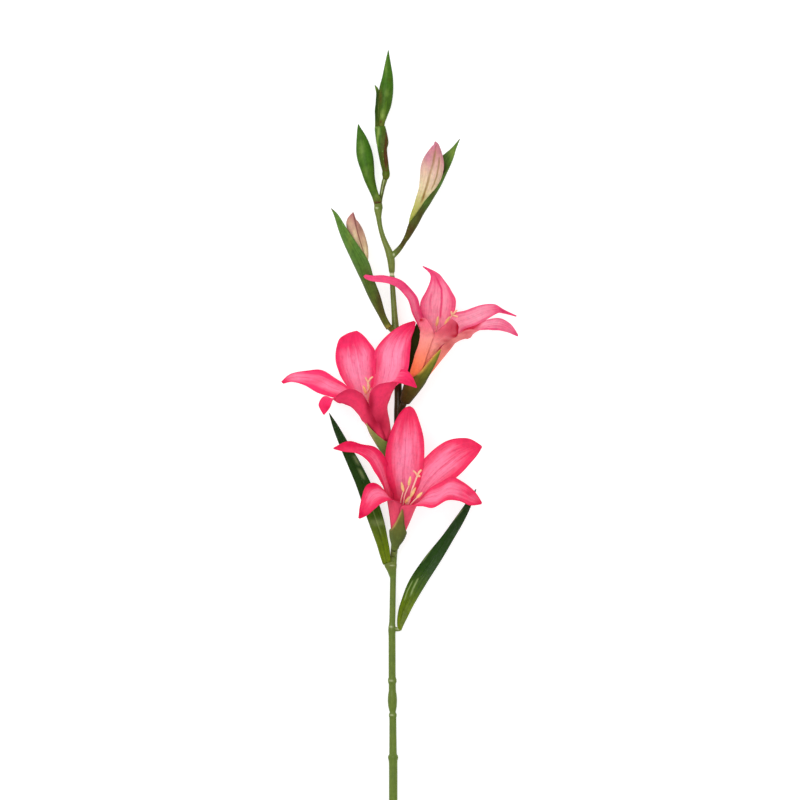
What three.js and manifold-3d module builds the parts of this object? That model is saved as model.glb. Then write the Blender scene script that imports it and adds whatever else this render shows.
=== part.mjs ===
// One cut gladiolus stem with three open blooms, laid down on a table.
// +Z is up, +Y runs along the stem towards the top bud and +X is to its right.
// Every place is in millimetres on a drawing sheet: across from its left edge, down from its top
// edge, and the height above the table. Lists run from the root of a piece to its tip.

import * as THREE from "three";
import Module from "manifold-3d";

const wasm = await Module();
wasm.setup();

// The place on the sheet where x = 0 and y = 0
const sheetAcross = 400.25;
const sheetDown = 470.2;

// Thickness of each kind of blade
const petalThick = 0.8;
const leafThick = 1.2;
const bractThick = 0.9;

// How finely the surfaces are divided
const rowsPerStation = 1.3;
const petalColumns = 4;
const leafColumns = 4;
const bractColumns = 4;
const stemSides = 10;
const podSides = 10;
const threadSides = 5;

const cupRows = 5;

// Play between a piece and what it sits on
const seatGap = 0.4;

// The root of a bloom: the solid foot of its funnel, the cup of bracts round it and the stem's nub
const footLength = 4;
const cupLift = 2.6; // from the funnel's wall to the middle of the cup's
const floorDepth = 3.4;
const nubRadius = 3.2;
const squareEnd = 2; // the nub's last stretch, in line with the funnel
const columnRadius = 1.4; // the stamens' column in the funnel
const threadRadius = 0.7;

const colours = {
  petal: 0xef4a76,
  stamen: 0xf2cfa0,
  stem: 0x78924b,
  leaf: 0x2c4a1c,
  bract: 0x55652f,
  greenBud: 0x2f5a20,
  pinkBud: 0xc8909a,
};
const material = (color, roughness) => new THREE.MeshStandardMaterial({ color, roughness, metalness: 0 });
const finish = {
  petal: material(colours.petal, 0.6),
  stamen: material(colours.stamen, 0.55),
  stem: material(colours.stem, 0.5),
  leaf: material(colours.leaf, 0.4),
  bract: material(colours.bract, 0.5),
  greenBud: material(colours.greenBud, 0.45),
  pinkBud: material(colours.pinkBud, 0.55),
};

const vector = (x, y, z) => new THREE.Vector3(x, y, z);
const place = (across, down, up) => vector(across - sheetAcross, sheetDown - down, up);
const radians = THREE.MathUtils.degToRad;
const towardsSky = vector(0, 0, 1);

// The smooth curve through rows of numbers, where whole values of t are the rows themselves
function through(rows, t) {
  const last = rows.length - 1;
  const first = Math.min(Math.floor(t), last - 1);
  const f = t - first;
  const row = (k) => rows[Math.min(Math.max(k, 0), last)];
  return row(first).map((from, k) => {
    const to = row(first + 1)[k];
    const leaving = (to - row(first - 1)[k]) / 2;
    const arriving = (row(first + 2)[k] - from) / 2;
    const bow = (leaving * (1 - f) - arriving * f + (to - from) * (2 * f - 1)) * f * (1 - f);
    return from + (to - from) * f + bow;
  });
}

// A closed solid from shared corners and the triangles between them
function solid(corners, triangles) {
  const vertProperties = new Float32Array(corners.flatMap((p) => [p.x, p.y, p.z]));
  return new wasm.Manifold(new wasm.Mesh({ numProp: 3, vertProperties, triVerts: new Uint32Array(triangles) }));
}

// The union of some solids, without the bubbles and scraps that fusing leaves
function fuse(solids) {
  const bodies = wasm.Manifold.union(solids).decompose();
  return bodies.reduce((most, body) => (body.volume() > most.volume() ? body : most));
}

// A skin of even thickness about the surface that pointAt(t, s) gives with its normal, for t from
// 0 to length and s from -1 to 1. Both of its faces are split along the same diagonals.
function skin(pointAt, length, rows, columns, thickness) {
  const corners = [];
  const triangles = [];
  const quad = (a, b, c, d) => triangles.push(a, b, c, a, c, d);
  const index = (i, j, side) => (i * (columns + 1) + j) * 2 + side;
  for (let i = 0; i <= rows; i++) {
    for (let j = 0; j <= columns; j++) {
      const { point, normal } = pointAt((length * i) / rows, (2 * j) / columns - 1);
      corners.push(point.clone().addScaledVector(normal, thickness / 2));
      corners.push(point.clone().addScaledVector(normal, -thickness / 2));
    }
  }
  for (let i = 0; i < rows; i++) {
    for (let j = 0; j < columns; j++) {
      quad(index(i, j, 0), index(i, j + 1, 0), index(i + 1, j + 1, 0), index(i + 1, j, 0));
      triangles.push(index(i, j, 1), index(i + 1, j + 1, 1), index(i, j + 1, 1));
      triangles.push(index(i, j, 1), index(i + 1, j, 1), index(i + 1, j + 1, 1));
    }
    quad(index(i, 0, 1), index(i, 0, 0), index(i + 1, 0, 0), index(i + 1, 0, 1));
    quad(index(i, columns, 0), index(i, columns, 1), index(i + 1, columns, 1), index(i + 1, columns, 0));
  }
  for (let j = 0; j < columns; j++) {
    quad(index(0, j, 0), index(0, j, 1), index(0, j + 1, 1), index(0, j + 1, 0));
    quad(index(rows, j, 1), index(rows, j, 0), index(rows, j + 1, 0), index(rows, j + 1, 1));
  }
  return solid(corners, triangles);
}

// A blade between two edges. A row is left x, y, z, right x, y, z and bend, seen on the inner face
// with the tip up. Bend is half the arc of the section, in degrees, with the edges towards the eye.
function blade(rows, thickness, columns) {
  const length = rows.length - 1;
  const middle = (t) => {
    const [lx, ly, lz, rx, ry, rz] = through(rows, t);
    return vector(lx + rx, ly + ry, lz + rz).divideScalar(2);
  };
  const pointAt = (t, s) => {
    const [lx, ly, lz, rx, ry, rz, bend] = through(rows, t);
    const along = middle(Math.min(t + 0.02, length)).sub(middle(Math.max(t - 0.02, 0)));
    const across = vector(rx - lx, ry - ly, rz - lz);
    const half = across.length() / 2;
    across.normalize();
    const normal = across.clone().cross(along).normalize();
    const arc = radians(Math.max(Math.abs(bend), 0.5));
    const way = bend < 0 ? -1 : 1;
    const radius = half / Math.sin(arc);
    const sag = radius * (Math.cos(s * arc) - Math.cos(arc)) * way;
    const point = middle(t).addScaledVector(across, radius * Math.sin(s * arc)).addScaledVector(normal, -sag);
    const facing = normal.multiplyScalar(Math.cos(s * arc)).addScaledVector(across, -way * Math.sin(s * arc));
    return { point, normal: facing };
  };
  return skin(pointAt, length, Math.round(length * rowsPerStation), columns, thickness);
}

const onSheet = (rows) =>
  rows.map(([lx, ly, lz, rx, ry, rz, bend]) => [
    ...place(lx, ly, lz).toArray(),
    ...place(rx, ry, rz).toArray(),
    bend,
  ]);

// A round rod through rings of x, y, z, half width and, where it isn't round, half depth
function rod(rings, sides) {
  const centres = rings.map(([x, y, z]) => place(x, y, z));
  const last = rings.length - 1;
  const corners = [];
  rings.forEach(([, , , wide, deep = wide], i) => {
    const along = centres[Math.min(i + 1, last)].clone().sub(centres[Math.max(i - 1, 0)]);
    const across = along.clone().cross(towardsSky).normalize();
    const up = across.clone().cross(along).normalize();
    for (let k = 0; k < sides; k++) {
      const angle = (2 * Math.PI * k) / sides;
      const out = across.clone().multiplyScalar(wide * Math.cos(angle));
      corners.push(out.addScaledVector(up, deep * Math.sin(angle)).add(centres[i]));
    }
  });
  const triangles = [];
  for (let i = 0; i < last; i++) {
    for (let k = 0; k < sides; k++) {
      const [a, b] = [i * sides + k, i * sides + ((k + 1) % sides)];
      triangles.push(a, a + sides, b, b, a + sides, b + sides);
    }
  }
  const ends = [corners.length, corners.length + 1];
  corners.push(centres[0], centres[last]);
  for (let k = 0; k < sides; k++) {
    const next = (k + 1) % sides;
    triangles.push(ends[0], k, next);
    triangles.push(ends[1], last * sides + next, last * sides + k);
  }
  return solid(corners, triangles);
}

// A smooth pod: a rod whose rings are joined by curves
function pod(rings, steps = 2) {
  const smooth = [];
  for (let i = 0; i <= (rings.length - 1) * steps; i++) smooth.push(through(rings, i / steps));
  return rod(smooth, podSides);
}

// The axis of a bloom's funnel at t: its centre, radius, the way ahead, and the sides of it that
// look at the sky and to the right
function funnelAt(funnel, t) {
  const last = funnel.length - 1;
  const centreAt = (u) => place(...through(funnel, Math.min(Math.max(u, 0), last)).slice(0, 3));
  const ahead = centreAt(t + 0.05).sub(centreAt(t - 0.05)).normalize();
  const front = towardsSky.clone().addScaledVector(ahead, -ahead.z).normalize();
  const right = ahead.clone().cross(front);
  return { centre: centreAt(t), radius: through(funnel, t)[3], ahead, front, right };
}

// A point of the funnel, at an angle from its front towards its right and a lift off its wall
function onFunnel(funnel, t, angle, lift) {
  const { centre, radius, front, right } = funnelAt(funnel, t);
  const out = front.clone().multiplyScalar(Math.cos(radians(angle)));
  out.addScaledVector(right, Math.sin(radians(angle)));
  return { point: centre.addScaledVector(out, radius + lift), out };
}

// One petal: it runs up the funnel's wall at its angle, as wide as its spread to each side, past
// so many of the funnel's rings, and then along its own rows
function petal(funnel, { angle, spread, lift, rings = funnel.length, rows }) {
  const claw = funnel.slice(0, rings).map((ring, t) => [
    ...onFunnel(funnel, t, angle + spread, lift).point.toArray(),
    ...onFunnel(funnel, t, angle - spread, lift).point.toArray(),
    spread,
  ]);
  return blade([...claw, ...onSheet(rows)], petalThick, petalColumns);
}

// A ring of a rod on the line of the funnel's axis, far ahead of its foot
function footRing(funnel, far, radius) {
  const { centre, ahead } = funnelAt(funnel, 0);
  const p = centre.addScaledVector(ahead, far);
  return [p.x + sheetAcross, sheetDown - p.y, p.z, radius];
}

// The solid foot of a funnel
function foot(funnel) {
  const radius = funnel[0][3] + 0.2;
  return rod([footRing(funnel, 0, radius), footRing(funnel, footLength, radius)], stemSides);
}

// The rounded floor of the cup that the foot stands in
function cupFloor(funnel) {
  const top = funnel[0][3] + cupLift + bractThick / 2;
  const rings = [
    footRing(funnel, -seatGap - floorDepth, nubRadius),
    footRing(funnel, -seatGap - floorDepth / 2, 0.55 * (nubRadius + top)),
    footRing(funnel, -seatGap, top),
  ];
  return rod(rings, stemSides);
}

// A cup of bracts round the funnel, which grows out of its floor. Its rim is a list of angles,
// going round, each with the place along the funnel that the cup reaches there.
function cup(funnel, rim) {
  const { ahead } = funnelAt(funnel, 0);
  const sunk = seatGap + floorDepth / 3;
  const pointAt = (t, s) => {
    const column = ((1 - s) / 2) * (rim.length - 1);
    const [angle, reach] = rim[Math.round(column)];
    const { point, out } = onFunnel(funnel, t * reach, angle, cupLift);
    return { point: point.addScaledVector(ahead, -sunk * (1 - t)), normal: out.negate() };
  };
  return skin(pointAt, 1, cupRows, rim.length - 1, bractThick);
}

const part = new THREE.Group();
function add(name, made, surface) {
  const { vertProperties, triVerts } = made.getMesh();
  const geometry = new THREE.BufferGeometry();
  geometry.setAttribute("position", new THREE.BufferAttribute(vertProperties, 3));
  geometry.setIndex(new THREE.BufferAttribute(triVerts, 1));
  geometry.computeVertexNormals();
  const mesh = new THREE.Mesh(geometry, surface);
  mesh.name = name;
  part.add(mesh);
}

// What reaches below the table is cut off flat
const aboveTable = (made) => made.trimByPlane([0, 0, 1], 0);

// The three blooms. A funnel is rings of x, y, z and radius; an angle on it is 0 at its front,
// which looks at the sky, and 90 at its right with its mouth up.
const lower = {
  funnel: [
    [395.4, 545, 16, 2.6],
    [397.6, 534, 21, 5.6],
    [400.4, 518, 26, 9.8],
    [403, 501, 31, 14.5],
  ],
  petals: [
    {
      angle: 178,
      spread: 40,
      lift: -0.4,
      rows: [
        [387.6, 480, 25, 420, 482, 25, 28],
        [385.2, 458, 30, 424.3, 458, 29, 20],
        [388.5, 438, 33.5, 423.4, 437, 31.5, 14],
        [396.8, 418, 34, 418.6, 419, 32, 10],
        [403.5, 408.8, 32, 414.4, 409.4, 31.6, 6],
        [408.2, 406.2, 31.5, 410.4, 406.2, 31.5, 2],
      ],
    },
    {
      angle: 112,
      spread: 44,
      lift: 0,
      rows: [
        [414, 476, 23, 432, 494, 37, 25],
        [425, 457.5, 28.5, 447, 484, 39, 20],
        [446, 441, 34, 463, 471, 40, 15],
        [467, 438, 36, 476.5, 455.5, 39, 10],
        [480.5, 444.8, 35, 482, 446.8, 35.5, 3],
      ],
    },
    {
      angle: 45,
      spread: 48,
      lift: 0.4,
      rows: [
        [429, 488.5, 42, 421, 505.8, 46.5, 22],
        [441, 481.5, 45, 433, 507.5, 48, 16],
        [451, 476.5, 47, 446, 500.2, 48, 12],
        [462, 481, 45, 458, 500.5, 45.5, 10],
        [474, 490.5, 41, 470, 505, 41, 8],
        [481.8, 502, 37.5, 481.2, 504, 37.5, 2],
      ],
    },
    {
      angle: -115,
      spread: 42,
      lift: 0.4,
      rows: [
        [384, 489, 35, 391, 476, 22, 25],
        [377, 475.5, 37, 386, 459, 29.5, 20],
        [368, 461, 38, 376, 447.3, 34, 14],
        [356, 453, 39, 362, 444, 37.5, 12],
        [345, 451.7, 38, 348.5, 440.8, 38.5, 8],
        [333.9, 449, 35, 333.4, 447.6, 35, 2],
      ],
    },
    {
      angle: -47,
      spread: 50,
      lift: 0,
      rows: [
        [393, 500, 47.5, 384.5, 489.3, 38, 20],
        [383, 502, 48.5, 374, 482.3, 44, 16],
        [375, 508.5, 47, 365.5, 486.5, 46, 12],
        [367, 515, 43, 361, 501, 43.5, 8],
        [360, 518.4, 38, 358.4, 517.5, 38, 3],
      ],
    },
    {
      angle: 180,
      spread: 34,
      lift: 0.5,
      rows: [
        [399, 480, 19, 419, 482, 20, 22],
        [400, 460, 22, 421.5, 460, 23, 16],
        [403, 440, 24, 420.5, 440, 25, 12],
        [407, 424, 25, 417, 424, 25.5, 8],
        [411.8, 414, 25, 413.2, 414, 25, 2],
      ],
    },
  ],
  rim: [
    [-172, 1.1],
    [-120, 1.12],
    [-80, 1.2],
    [-42, 1.5],
    [-20, 1.9],
    [-8, 2.35],
    [3, 2.8],
    [14, 2.35],
    [25, 1.9],
    [45, 1.5],
    [84, 1.2],
    [120, 1.12],
    [172, 1.1],
  ],
};

const middle = {
  funnel: [
    [390, 455.5, 17.8, 2.6],
    [385.5, 443, 21.6, 6.2],
    [379, 426, 27.4, 9.8],
    [369, 401, 35, 14.5],
  ],
  petals: [
    {
      angle: -165,
      spread: 40,
      lift: -0.4,
      rows: [
        [349, 388.5, 28, 375, 386, 22, 25],
        [340, 375, 28, 376, 367, 24, 20],
        [335.6, 357.5, 28, 375.4, 351.5, 26, 14],
        [338.3, 341, 27, 367.6, 340, 27, 10],
        [345.5, 334.4, 26.4, 362, 334, 26.4, 6],
        [353.6, 331.4, 25.6, 357, 330.8, 25.6, 2],
      ],
    },
    {
      angle: 150,
      spread: 42,
      lift: 0,
      rows: [
        [370.5, 386, 22.5, 397.5, 385, 30, 22],
        [372.8, 366, 24, 407.6, 370.5, 29.5, 18],
        [375.2, 350, 26, 410.2, 353, 28, 14],
        [386.5, 336, 27, 411.2, 339.5, 27, 10],
        [401, 325.4, 27, 414.4, 330, 26.5, 6],
        [414, 320.8, 26, 415.8, 322.4, 26, 2],
      ],
    },
    {
      angle: -100,
      spread: 42,
      lift: 0,
      rows: [
        [349, 399, 36, 347, 386, 28, 22],
        [333, 397.3, 34, 336, 378.5, 29, 18],
        [318, 393, 27, 322, 370, 25, 12],
        [304.5, 385.3, 16, 306.5, 370.6, 15, 12],
        [292, 382, 6, 290.5, 373.7, 6, 10],
        [284, 384, 0.3, 281.8, 381.5, 0.3, 2],
      ],
    },
    {
      angle: -42,
      spread: 48,
      lift: 0.4,
      rings: 3,
      rows: [
        [366, 399, 49, 358, 414.5, 33, 34],
        [358.5, 391.5, 51.5, 350.2, 406.6, 36, 20],
        [349, 388.8, 52, 343.5, 403.4, 38.5, 14],
        [339, 394, 51, 338, 402.8, 41, 10],
        [333, 401, 48, 325, 396.2, 38, 5],
        [329.5, 408.5, 44, 318.7, 404.5, 37.5, 6],
        [324.6, 414.8, 39, 323.6, 414.6, 38.6, 2],
      ],
    },
    {
      angle: 48,
      spread: 50,
      lift: 0,
      rings: 3,
      rows: [
        [387.6, 408, 30, 370.8, 410.5, 45.5, 46],
        [389.5, 398.5, 34, 368.9, 400, 50, 44],
        [394.2, 389.5, 37, 371.8, 390.8, 53.5, 40],
        [398.2, 381, 38.5, 378, 384.8, 55.2, 36],
        [400.3, 370, 40, 388.5, 382.7, 55.6, 30],
        [407.5, 371, 43, 398.5, 383.2, 54.5, 22],
        [412.5, 377.5, 46, 408, 385.2, 51.5, 12],
        [417, 387, 46, 416.2, 388.2, 46.5, 3],
      ],
    },
    {
      angle: 178,
      spread: 34,
      lift: 0.5,
      rows: [
        [362, 380, 17.5, 385, 382, 18, 22],
        [366, 364, 18, 394, 366, 19, 16],
        [377, 351.5, 19.5, 400, 352, 20.5, 12],
        [386, 341, 20.5, 399, 340, 21, 8],
        [395.3, 333, 21, 396.7, 333.2, 21, 2],
      ],
    },
  ],
  rim: [
    [-230, 1],
    [-180, 1.05],
    [-140, 1.15],
    [-110, 1.35],
    [-88, 1.7],
    [-70, 2.05],
    [-54, 2.4],
    [-42, 2.1],
    [-25, 1.75],
    [0, 1.35],
    [25, 1.12],
    [60, 1.02],
    [114, 1],
  ],
};

const upper = {
  funnel: [
    [405.5, 400, 18.5, 2.8],
    [413, 385, 22.5, 6.5],
    [423, 366, 27.5, 10.5],
    [435.5, 341, 33, 16],
  ],
  petals: [
    {
      angle: -115,
      spread: 42,
      lift: 0.4,
      rows: [
        [412.3, 315, 37, 421, 311, 27, 20],
        [406.8, 298, 38, 416.5, 296.5, 30, 16],
        [396, 287.3, 37, 403, 281.5, 32, 14],
        [383, 283, 34, 386, 275.9, 32, 12],
        [372, 281.3, 31, 373.5, 276, 30, 8],
        [364.4, 277.3, 29, 364.6, 275.2, 29, 2],
      ],
    },
    {
      angle: 178,
      spread: 42,
      lift: 0,
      rows: [
        [421.5, 317, 24, 452, 322, 24, 25],
        [420.5, 302.5, 27, 456, 302, 27, 18],
        [426.5, 290, 29, 451, 290.5, 29, 14],
        [430.2, 280, 30, 444.5, 281, 30, 12],
        [429.6, 273.8, 31, 437.5, 273, 31, 8],
        [422.4, 267.2, 32, 422.8, 266, 32, 2],
      ],
    },
    {
      angle: 122,
      spread: 40,
      lift: 0.4,
      rows: [
        [450, 316, 24, 462, 331, 30, 22],
        [466, 310.3, 26, 474, 326, 29, 16],
        [482, 304.8, 21, 487, 319.3, 21, 12],
        [495, 304.3, 13, 498, 313.2, 12.5, 10],
        [505, 309.8, 5.5, 504.5, 313.6, 5.3, 6],
        [517, 315.4, 0.3, 516.4, 316.6, 0.3, 1],
      ],
    },
    {
      angle: 72,
      spread: 42,
      lift: -0.4,
      rings: 3,
      rows: [
        [449.5, 345.5, 26, 442.5, 345.5, 46.3, 42],
        [454, 333, 24.5, 450.5, 338.5, 48.5, 58],
        [458, 321, 23.5, 459.5, 332.8, 48.2, 72],
        [470, 321.5, 21, 470, 329.3, 42, 78],
        [484, 320.5, 22, 484, 330.3, 28.5, 30],
        [499, 318, 16, 498.5, 330.3, 17, 12],
        [511, 324, 6.5, 509.5, 333, 6.5, 8],
        [518.6, 335, 0.3, 517.6, 336.4, 0.3, 2],
      ],
    },
    {
      angle: -38,
      spread: 42,
      lift: 0,
      rows: [
        [437, 335, 53, 418.5, 330, 42, 30],
        [433, 327.5, 60, 417.5, 323.5, 50, 22],
        [427.5, 321.5, 64, 420.5, 319.2, 58, 10],
        [424.5, 319.3, 65, 423.5, 319, 64.6, 2],
      ],
    },
    {
      angle: 28,
      spread: 42,
      lift: 0.4,
      rows: [
        [455, 337, 43, 436, 336, 52, 30],
        [456.6, 328.5, 51.5, 441, 326.5, 59, 22],
        [455, 322, 57.5, 447, 320.6, 62, 12],
        [451, 319.4, 63, 449.6, 319.2, 63.3, 2],
      ],
    },
  ],
  rim: [
    [-148, 0.7],
    [-110, 0.85],
    [-78, 1.1],
    [-36, 1.5],
    [-6, 2],
    [14, 2.5],
    [31, 2.95],
    [42, 2.5],
    [58, 2],
    [84, 1.5],
    [122, 1.1],
    [155, 0.85],
    [190, 0.7],
  ],
  backBract: [
    [403.5, 391, 16.5, 411, 393, 14.2, 20],
    [405, 374, 17, 420, 372, 13.2, 18],
    [405.5, 356, 19, 422, 355, 14.5, 15],
    [408.5, 340, 22, 421, 338, 17.5, 12],
    [413.5, 330, 24, 419.5, 329, 21, 8],
    [416.6, 323.4, 24.5, 417.4, 323.2, 24.4, 2],
  ],
};

// Stamens: threads from the column in the funnel, and the arms that fork off the style, all
// through x, y, z and radius. An anther is given by its two ends.
lower.threads = [
  [[402.5, 503, 36, 0.7], [402.8, 493, 43, 0.6]],
  [[404, 503, 37, 0.7], [409, 486, 47, 0.6]],
  [[408, 500, 38, 0.8], [413, 488, 45, 0.7], [417, 475, 50, 0.7]],
  [[406, 505, 36, 0.7], [412.5, 493, 45, 0.6]],
  [[409, 505, 38, 0.7], [417, 496, 46, 0.6]],
  [[405, 507, 34, 0.7], [406.5, 502, 38, 0.6]],
];
lower.arms = [
  [[417, 476, 49.6, 0.7], [415.6, 472.5, 50.5, 0.7], [412.6, 470, 51, 0.5]],
  [[417, 476, 49.6, 0.7], [418, 472.5, 50.5, 0.7], [421.3, 469.4, 51, 0.5]],
  [[416.5, 477, 49.4, 0.7], [418, 475.6, 50.4, 0.8], [419.3, 477, 51, 0.5]],
];
lower.anthers = [
  [403, 494, 42.5, 401.2, 481.6, 46],
  [408, 487.5, 46.3, 411, 476.2, 49],
  [411, 496.5, 43.5, 415, 487, 47.5],
  [415.5, 498, 45, 422, 491.8, 48],
  [405.4, 504, 37, 409.6, 496.5, 42],
];
middle.threads = [
  [[368, 399, 38, 0.8], [368.4, 388, 43, 0.7], [368.2, 381, 45.5, 0.7]],
  [[366, 400, 39, 0.7], [365.3, 391, 42.5, 0.6]],
  [[369, 400, 36, 0.7], [371.5, 388, 41, 0.6]],
];
middle.arms = [
  [[368.3, 382.5, 45, 0.7], [366.6, 379.6, 46, 0.7], [364.8, 378, 46.5, 0.5]],
  [[368.3, 382.5, 45, 0.7], [370.6, 378.6, 46, 0.8], [373, 376.6, 46.5, 0.5]],
];
middle.anthers = [
  [366.4, 393.6, 41.5, 362.9, 385.3, 45],
  [371.8, 389, 40.6, 370, 380.4, 44],
];
upper.threads = [
  [[441, 333, 38, 0.8], [448, 321, 43, 0.7], [452.5, 315, 45.5, 0.7]],
  [[434.5, 338, 37, 0.7], [436.3, 328, 43, 0.6]],
  [[439, 337, 37, 0.7], [443.8, 326.5, 43, 0.6]],
];
upper.arms = [
  [[452, 316, 45.2, 0.7], [451.4, 313.6, 46, 0.8], [450.6, 311.4, 46.5, 0.5]],
  [[452, 316, 45.2, 0.7], [454.6, 312.8, 46, 0.8], [458.2, 310, 46.5, 0.5]],
  [[452, 316, 45.2, 0.7], [454.8, 316.6, 46, 0.8], [458.6, 319, 46.5, 0.5]],
];
upper.anthers = [
  [436.2, 329, 42.6, 438.4, 316, 46.5],
  [443.4, 327.6, 42.6, 450, 317.4, 46.5],
];

// An anther is a slim pod between its two ends
function anther([x0, y0, z0, x1, y1, z1]) {
  const ring = (f, radius) => [x0 + (x1 - x0) * f, y0 + (y1 - y0) * f, z0 + (z1 - z0) * f, radius];
  return rod([ring(0, 0.5), ring(0.2, 1.15), ring(0.75, 1.1), ring(1, 0.4)], threadSides);
}

// A ring of a rod on the funnel's axis
function axisRing(funnel, t, radius) {
  const { centre } = funnelAt(funnel, t);
  return [centre.x + sheetAcross, sheetDown - centre.y, centre.z, radius];
}

// The stamens and the style of a bloom: a column that stands on the funnel's solid foot, the
// threads that part from its top, the style's arms and the anthers
function stamens({ funnel, threads, arms, anthers }) {
  const columnRings = [footRing(funnel, footLength + seatGap, columnRadius)];
  for (const t of [1, 1.9]) columnRings.push(axisRing(funnel, t, columnRadius));
  const column = rod(columnRings, threadSides + 1);
  const parting = axisRing(funnel, 1.75, threadRadius);
  const stalks = threads.map((rings) => rod([parting, ...rings], threadSides));
  const fork = arms.map((rings) => rod(rings, threadSides));
  return fuse([column, ...stalks, ...fork, ...anthers.map(anther)]);
}

for (const [name, bloom] of Object.entries({ lower, middle, upper })) {
  const { funnel, petals, rim, backBract } = bloom;
  const flower = fuse([foot(funnel), ...petals.map((one) => petal(funnel, one))]);
  add("bloom_" + name, aboveTable(flower), finish.petal);
  add("stamens_" + name, stamens(bloom), finish.stamen);
  const back = backBract ? [blade(onSheet(backBract), bractThick, bractColumns)] : [];
  add("spathe_" + name, fuse([cupFloor(funnel), cup(funnel, rim), ...back]), finish.bract);
}

// The stem, from its cut end to its top collar
const stemRings = [
  [393.2, 890, 3.8, 4.2],
  [393.2, 806, 3.8, 4.2],
  [393.2, 764, 4.1, 4.2],
  [393.1, 760.5, 4.2, 4.4],
  [393, 759.4, 4.2, 5.1],
  [393, 756.4, 4.2, 5.1],
  [393, 755.2, 4.2, 3.8],
  [392.9, 735, 4.3, 3.6],
  [392.8, 718, 4.4, 3.5],
  [392.8, 716.6, 4.4, 4],
  [392.8, 714.2, 4.4, 4],
  [392.7, 713, 4.5, 2.9],
  [392.5, 707.5, 4.6, 4.2],
  [392.3, 701, 4.7, 4.7, 4.5],
  [392.3, 695, 4.7, 4.3],
  [392.4, 691.5, 4.7, 3.6],
  [392.3, 684, 4.8, 3.5],
  [392.2, 682.6, 4.8, 4.3],
  [392.2, 679.4, 4.8, 4.3],
  [392.1, 678, 4.9, 3.5],
  [392, 634, 5.6, 3.5],
  [391.8, 631, 5.6, 3.9],
  [391.8, 626.8, 5.7, 3.6],
  [392.3, 623.5, 5.7, 3.1],
  [393, 581, 6.2, 3],
  [393.2, 562.8, 6.5, 3.3],
  [394, 551, 6.6, 3.5],
  [395.2, 541, 6.7, 3.4],
  [396.3, 520, 7.2, 3.4],
  [396, 500, 7.8, 3.4],
  [394.6, 480, 8.6, 3.6],
  [394, 466, 9.2, 4.2],
  [394.6, 456, 9.6, 4],
  [396, 442, 9.9, 3.7],
  [397.6, 425, 10.2, 3.7],
  [398.2, 411, 10.5, 4.2],
  [398.4, 398, 10.6, 3.9],
  [398, 385, 10.7, 3.8],
  [396.4, 350, 10.9, 3.6],
  [395.8, 333, 11, 4.1],
  [395.3, 325, 11, 3.5],
  [394.4, 313, 11.1, 3],
  [392.5, 286, 11.3, 2.6],
  [392.1, 277, 11.4, 2.8],
  [392, 275.6, 11.4, 2.3],
  [392, 273, 11.4, 2.3],
  [391.8, 271.5, 11.4, 3],
  [391.6, 262, 11.5, 3.7],
  [390.5, 255, 11.5, 3.9],
  [386.8, 246.5, 11.6, 3],
  [382.9, 237.5, 11.7, 2.5],
  [380, 227, 11.8, 2.3],
  [378.6, 217, 11.9, 2.7],
  [378, 210.5, 12, 3.3],
  [378, 206.8, 12, 4.1],
  [378.2, 204.9, 12, 4],
];

// What branches off it: the thread to the top buds, the nubs of leaf, bud and bloom
const branches = {
  topThread: [
    [379.6, 206, 12, 1.9],
    [382, 199, 12.2, 1.8],
    [384.2, 189, 12.5, 1.6],
    [385.4, 179.15, 12.8, 1.5],
  ],
  leftLeafCollar: [
    [393, 578, 6.3, 3],
    [391.6, 570.5, 6.5, 4.6],
    [390.4, 565, 6.6, 6.3, 4.6],
    [390, 563, 6.6, 6.2, 4.6],
  ],
  rightLeafNub: [
    [392.5, 629, 5.7, 2.6],
    [397.4, 629.6, 6.2, 2.2],
    [400.4, 629.8, 6.6, 1.7],
  ],
  leftBudNub: [
    [396, 331.5, 11, 3.2],
    [391.5, 329.2, 12.4, 3.4],
    [388.4, 325.6, 13.6, 3.2],
  ],
  rightBudStalk: [
    [391, 255.5, 11.5, 3.4],
    [395.4, 250.8, 11.6, 3.2],
    [400, 245, 11.8, 3.2],
  ],
};

// A bloom's nub runs from inside the stem to the floor of its spathe, and ends square to it
function bloomNub({ funnel }, [x, y, z]) {
  const end = -2 * seatGap - floorDepth;
  const rings = [end - squareEnd, end].map((far) => footRing(funnel, far, nubRadius));
  return rod([[x, y, z, nubRadius], ...rings], stemSides);
}

const stemParts = [
  rod(stemRings, stemSides),
  ...Object.values(branches).map((rings) => rod(rings, stemSides)),
  bloomNub(lower, [394, 555, 7]),
  bloomNub(middle, [394.4, 465, 9.4]),
  bloomNub(upper, [399, 411, 10.6]),
];
add("stem", aboveTable(fuse(stemParts)), finish.stem);

const leaves = {
  leaf_left: [
    [384.9, 562.8, 6.8, 389.1, 562, 7.6, 40],
    [376.8, 543, 8.4, 388.6, 541, 9, 20],
    [366.5, 517, 9, 383, 516.5, 9.5, 12],
    [357, 488, 10, 374.5, 491, 10.5, 10],
    [348, 466, 11, 362.5, 466.5, 11.5, 10],
    [340, 447, 12, 350, 445.5, 12, 10],
    [333.5, 429.5, 12.5, 338.5, 426, 12.5, 8],
    [328.8, 413.2, 13, 329.5, 413, 13, 1],
  ],
  leaf_right: [
    [397.6, 627.6, 8.6, 402.2, 627.8, 8.2, 30],
    [398.8, 607, 8.4, 411, 609.5, 8.4, 18],
    [409.5, 580, 9, 427, 583, 9, 10],
    [424.5, 557.5, 9.5, 440, 562.5, 9.5, 10],
    [442, 536, 10.5, 453, 540.5, 10.5, 10],
    [455.5, 517.5, 11.5, 464.5, 520.5, 11.5, 8],
    [466.5, 502, 12.5, 472, 504, 12.5, 6],
    [475.6, 489, 13, 476.4, 489.2, 13, 1],
  ],
};
for (const [name, rows] of Object.entries(leaves)) {
  add(name, blade(onSheet(rows), leafThick, leafColumns), finish.leaf);
}

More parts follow.
